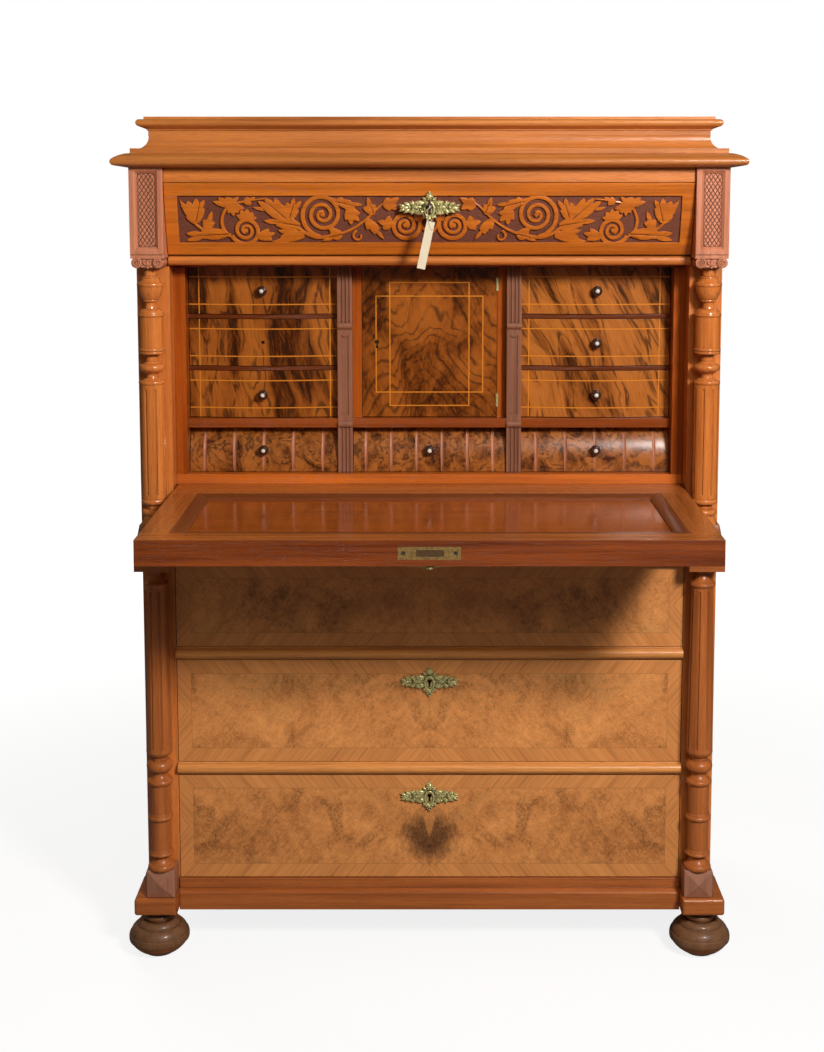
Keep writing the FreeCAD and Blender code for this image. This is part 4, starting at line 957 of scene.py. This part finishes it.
def tube(builder, line, radii, sides=8):
    """A tube along a line in space, closed flat at its ends."""
    last = len(line) - 1
    rounds = []
    for index, point in enumerate(line):
        ahead = line[min(index + 1, last)] - line[max(index - 1, 0)]
        rounds.append(hoop(builder, point, ahead, radii[index], sides))
    bridge(builder, rounds)
    builder.faces.new(rounds[0])
    builder.faces.new(rounds[-1][::-1])


def ring(builder, line, radius, sides=8):
    """A ring of tube along a loop that faces the front."""
    count = len(line)
    rounds = []
    for index, point in enumerate(line):
        ahead = line[(index + 1) % count] - line[index - 1]
        rounds.append(hoop(builder, point, ahead, radius, sides))
    bridge(builder, rounds + rounds[:1])


def boss(builder, outline, place, height, steps=3, sink=1.0):
    """A closed rounded boss over an outline; place maps a point and its height into space."""
    count = len(outline)
    centre = sum(outline, Vector((0, 0))) / count
    rounds = [[builder.verts.new(place(point, -sink)) for point in outline]]
    for step in range(steps):
        angle = step / steps * math.pi / 2
        level = height * math.sin(angle)
        inner = [centre.lerp(point, math.cos(angle)) for point in outline]
        rounds.append([builder.verts.new(place(point, level)) for point in inner])
    peak = builder.verts.new(place(centre, height))
    bridge(builder, rounds)
    for step in range(count):
        builder.faces.new([rounds[-1][step], rounds[-1][(step + 1) % count], peak])
    builder.faces.new(rounds[0][::-1])


def round_outline(x, z, radius, count=12):
    return [polar((x, z), radius, angle) for angle in turns(count)]


def teardrop(base, tip, width, count=14, swell=0.65):
    """An outline that is round at its base and pointed at its tip."""
    base = Vector(base)
    axis = Vector(tip) - base
    side = axis.orthogonal().normalized() * width * swell
    outline = []
    for angle in turns(count):
        bulge = side * math.sin(angle) * abs(math.cos(angle / 2))
        outline.append(base + axis * (0.5 - 0.5 * math.cos(angle)) + bulge)
    return outline


# Scrolls, eyes and a small trefoil on the capitals, in millimetres from the middle of the scrolls
volute_drop = 14
volute_offset = 18
volute_turns = 1.75
volute_radius = 7.6
volute_end_radius = 2.6
volute_thickness = 1.5
volute_taper = 0.35
volute_lift = 0.3
eye_radius = 2.4
trefoil_sink = 3


def capital_place(centre_x, sink=0):
    """Map of a point and its height over a capital's face into space."""
    middle_z = capital_high.z - volute_drop * MM

    def place(point, height):
        depth = capital_low.y - (height - sink) * MM
        return Vector((centre_x + point.x * MM, depth, middle_z + point.y * MM))

    return place


def capital_scrolls(builder, centre_x):
    place = capital_place(centre_x)
    trefoil_place = capital_place(centre_x, trefoil_sink)
    for side in (-1, 1):
        flat = spiral((0, 0), 90, volute_turns, volute_radius, volute_end_radius)
        line = [place(Vector((side * (volute_offset + point.x), point.y)), volute_lift) for point in flat]
        count = len(line)
        radii = [volute_thickness * MM * (1 - volute_taper * index / count) for index in range(count)]
        tube(builder, line, radii)
        boss(builder, round_outline(side * volute_offset, 0, eye_radius), place, eye_radius)
        boss(builder, teardrop((side * 1.5, -5), (side * 8, 3), 5), trefoil_place, 2.6)
    boss(builder, teardrop((0, -7), (0, 6), 6), trefoil_place, 3.4)
    boss(builder, round_outline(0, -8, eye_radius), trefoil_place, 3.0)


for side, name in both_sides:
    builder = bmesh.new()
    capital_scrolls(builder, side * column_x)
    finish_mesh(builder, f"{name}_capital_scrolls", plum_walnut, "carcass")

# Cast brass escutcheons: leafy wings, beads, a knop above and a drop below the keyhole.
# Places are in millimetres from the keyhole, for the right half.
wing_leaves = [
    ((8, 5), (25, 9.5), 9), ((8, -7), (27, -10), 9.5), ((11, 0), (33, 0.5), 10), ((22, 3), (36, 9), 7),
    ((22, -4), (36, -9.5), 7), ((32, 1), (43, 9), 7.5), ((33, -1), (51, -1), 8.5),
    ((32, -2), (44, -10), 7.5), ((4, -11), (12, -19), 7), ((5, 11), (12, 17), 6), ((13, 4), (18, 13), 6),
    ((14, -5), (19, -14), 6), ((26, 4), (30, 12), 5.5), ((27, -5), (31, -13), 5.5),
    ((40, 0), (52, 5), 6), ((40, -2), (51.5, -7), 6),
]
wing_beads = [
    (15, 4.5, 2.6), (15, -5, 2.6), (21, 6.5, 2.2), (21, -7.5, 2.4), (27, 3.6, 2.4), (27.5, -4.2, 2.5),
    (34, 0, 3.2), (40, 4.5, 2.0), (40.5, -5.5, 2.0), (46, 3.2, 1.8), (46, -5, 1.8), (6.5, 13.5, 2.4),
    (5, -17, 2.8), (3.2, -21.5, 2.2), (9.5, -13, 2.2), (18, 0.2, 2.4), (23, -0.6, 2.4),
]
middle_bosses = [(18, 6.6, 5.4), (24.6, 2.4, 3.6), (-18.5, 4.4, 4.2), (-25, 2.5, 3.0)]
leaf_height = 2.8
bead_height = 2.2
bead_height_share = 0.8
curl_centre = (24, 0)
curl_turns = 1.1
curl_radius = 8.5
curl_end_radius = 3
curl_height = 1.8
curl_thickness = 1.1
petal_count = 7
petal_ring_z = 18
petal_ring_radius = 4.6
petal_radius = 2.2
petal_height = 5.0
rim_half_width = 7.8
rim_half_height = 12.2
rim_drop = 3.5
rim_height = 1.2
rim_thickness = 2.0
rim_sides = 24


def casting_place(point, height):
    return Vector((point.x * MM, -height * MM, point.y * MM))


def casting():
    """Mesh builder of one casting, with its keyhole at the origin."""
    builder = bmesh.new()
    for side in (-1, 1):
        for base, tip, width in wing_leaves:
            flat = teardrop((side * base[0], base[1]), (side * tip[0], tip[1]), width)
            boss(builder, flat, casting_place, leaf_height)
        for x, z, radius in wing_beads:
            height = bead_height + radius * bead_height_share
            boss(builder, round_outline(side * x, z, radius), casting_place, height)
        for way in (1, -1):
            flat = spiral(curl_centre, way * 90, way * curl_turns, curl_radius, curl_end_radius)
            line = [casting_place(Vector((side * point.x, point.y)), curl_height) for point in flat]
            tube(builder, line, [curl_thickness * MM] * len(line), sides=6)
    for z, radius, height in middle_bosses:
        boss(builder, round_outline(0, z, radius), casting_place, height)
    for angle in turns(petal_count):
        petal = polar((0, petal_ring_z), petal_ring_radius, angle + math.pi / 2)
        boss(builder, round_outline(*petal, petal_radius), casting_place, petal_height)
    rim = []
    for angle in turns(rim_sides):
        point = Vector((rim_half_width * math.cos(angle), rim_half_height * math.sin(angle) - rim_drop))
        rim.append(casting_place(point, rim_height))
    ring(builder, rim, rim_thickness * MM)
    return builder


def casting_piece(name, body, centre, flat_down=False, size=1.0):
    """A casting about a centre, which faces the front or lies face down."""
    builder = casting()
    turn = Matrix.Rotation(math.radians(90), 4, "X") if flat_down else Matrix.Identity(4)
    builder.transform(Matrix.Translation(centre) @ turn @ Matrix.Scale(size, 4))
    finish_mesh(builder, name, brass, body, crease=0.9)


lock_drop = 0.038
frieze_lock_drop = 0.041
plate_thickness = 0.003
for name in ("low", "middle"):
    low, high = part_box(f"{name}_drawer_front")
    keyhole = Vector((0, low.y - plate_thickness, high.z - lock_drop))
    casting_piece(f"{name}_escutcheon_casting", f"{name}_drawer", keyhole)
frieze_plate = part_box("frieze_drawer_lock")[0].y
keyhole = Vector((0, frieze_plate, frieze_high.z - frieze_lock_drop))
casting_piece("frieze_escutcheon_casting", "frieze_drawer", keyhole)
fall_lock_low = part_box("fall_lock")[0]
fall_key_inset = 0.0225
fall_casting_size = 0.8
keyhole = Vector((0, fall_low.y + fall_key_inset, fall_lock_low.z))
casting_piece("fall_escutcheon_casting", "fall_front", keyhole, flat_down=True, size=fall_casting_size)

# Floor, light and camera


def area_light(name, place, aim, size, power, colour=(1.0, 1.0, 1.0)):
    data = bpy.data.lights.new(name, "AREA")
    data.size = size
    data.energy = power
    data.color = colour
    lamp = bpy.data.objects.new(name, data)
    lamp.location = place
    lamp.rotation_euler = (Vector(aim) - Vector(place)).to_track_quat("-Z", "Y").to_euler()
    bpy.context.scene.collection.objects.link(lamp)
    return lamp


case_middle = (0.0, 0.0, 0.8)
area_light("key_light", (1.10, -2.13, 2.16), case_middle, size=0.42, power=65, colour=(1.0, 0.97, 0.93))
soft_lights = [
    area_light("front_light", (0.30, -2.5, 2.1), case_middle, size=0.7, power=10, colour=(1.0, 0.95, 0.86)),
    area_light("fill_light", (-2.2, -3.4, 2.0), case_middle, size=2.2, power=6, colour=(1.0, 0.93, 0.74)),
    area_light("back_light", (-1.8, 3.2, 2.4), case_middle, size=2.4, power=70),
]
for lamp in soft_lights:
    lamp.visible_glossy = False

world = bpy.data.worlds.new("studio")
bpy.context.scene.world = world
sky_fill = 0.08
sky = Finish("studio", world)
sky_seen = sky.add("LightPath").outputs["Is Camera Ray"]
sky.set(Color=sky.mix(sky_seen, (1.0, 0.93, 0.72), (1.0, 1.0, 1.0)))
sky.set(Strength=sky.step(sky_seen, 0.0, 1.0, sky_fill, 1.0))

floor_mesh = bpy.data.meshes.new("floor")
floor_builder = bmesh.new()
bmesh.ops.create_grid(floor_builder, x_segments=1, y_segments=1, size=20.0)
floor_builder.to_mesh(floor_mesh)
floor_builder.free()
floor = bpy.data.objects.new("floor", floor_mesh)
bpy.context.scene.collection.objects.link(floor)
floor_finish = Finish("pale_floor")
floor_mottle = floor_finish.noise(floor_finish.place, 3.0, detail=2)
floor_colour = floor_finish.ramp(floor_mottle, tone(120, 120, 120), tone(126, 126, 126))
floor_finish.set(Base_Color=floor_colour, Roughness=0.9)
floor_seen = floor_finish.add("LightPath").outputs["Is Camera Ray"]
floor_reach = floor_finish.add("VectorMath", {0: floor_finish.place}, operation="LENGTH")
floor_glow = floor_finish.step(floor_reach.outputs["Value"], 0.8, 3.0, 0.84, 1.0)
floor_strength = floor_finish.times(floor_seen, floor_glow)
floor_finish.set(Emission_Color=(1.0, 1.0, 1.0), Emission_Strength=floor_strength)
floor_mesh.materials.append(floor_finish.material)

camera_tilt = 6.336
camera_data = bpy.data.cameras.new("camera")
camera_data.lens = 53.295
camera_data.shift_x = -0.0166
camera_data.shift_y = -0.17
camera_data.clip_end = 100
camera = bpy.data.objects.new("camera", camera_data)
camera.location = (0.0, -2.70, 1.38)
camera.rotation_euler = (math.radians(90 - camera_tilt), 0.0, 0.0)
bpy.context.scene.collection.objects.link(camera)
bpy.context.scene.camera = camera
bpy.context.scene.view_settings.view_transform = "Standard"
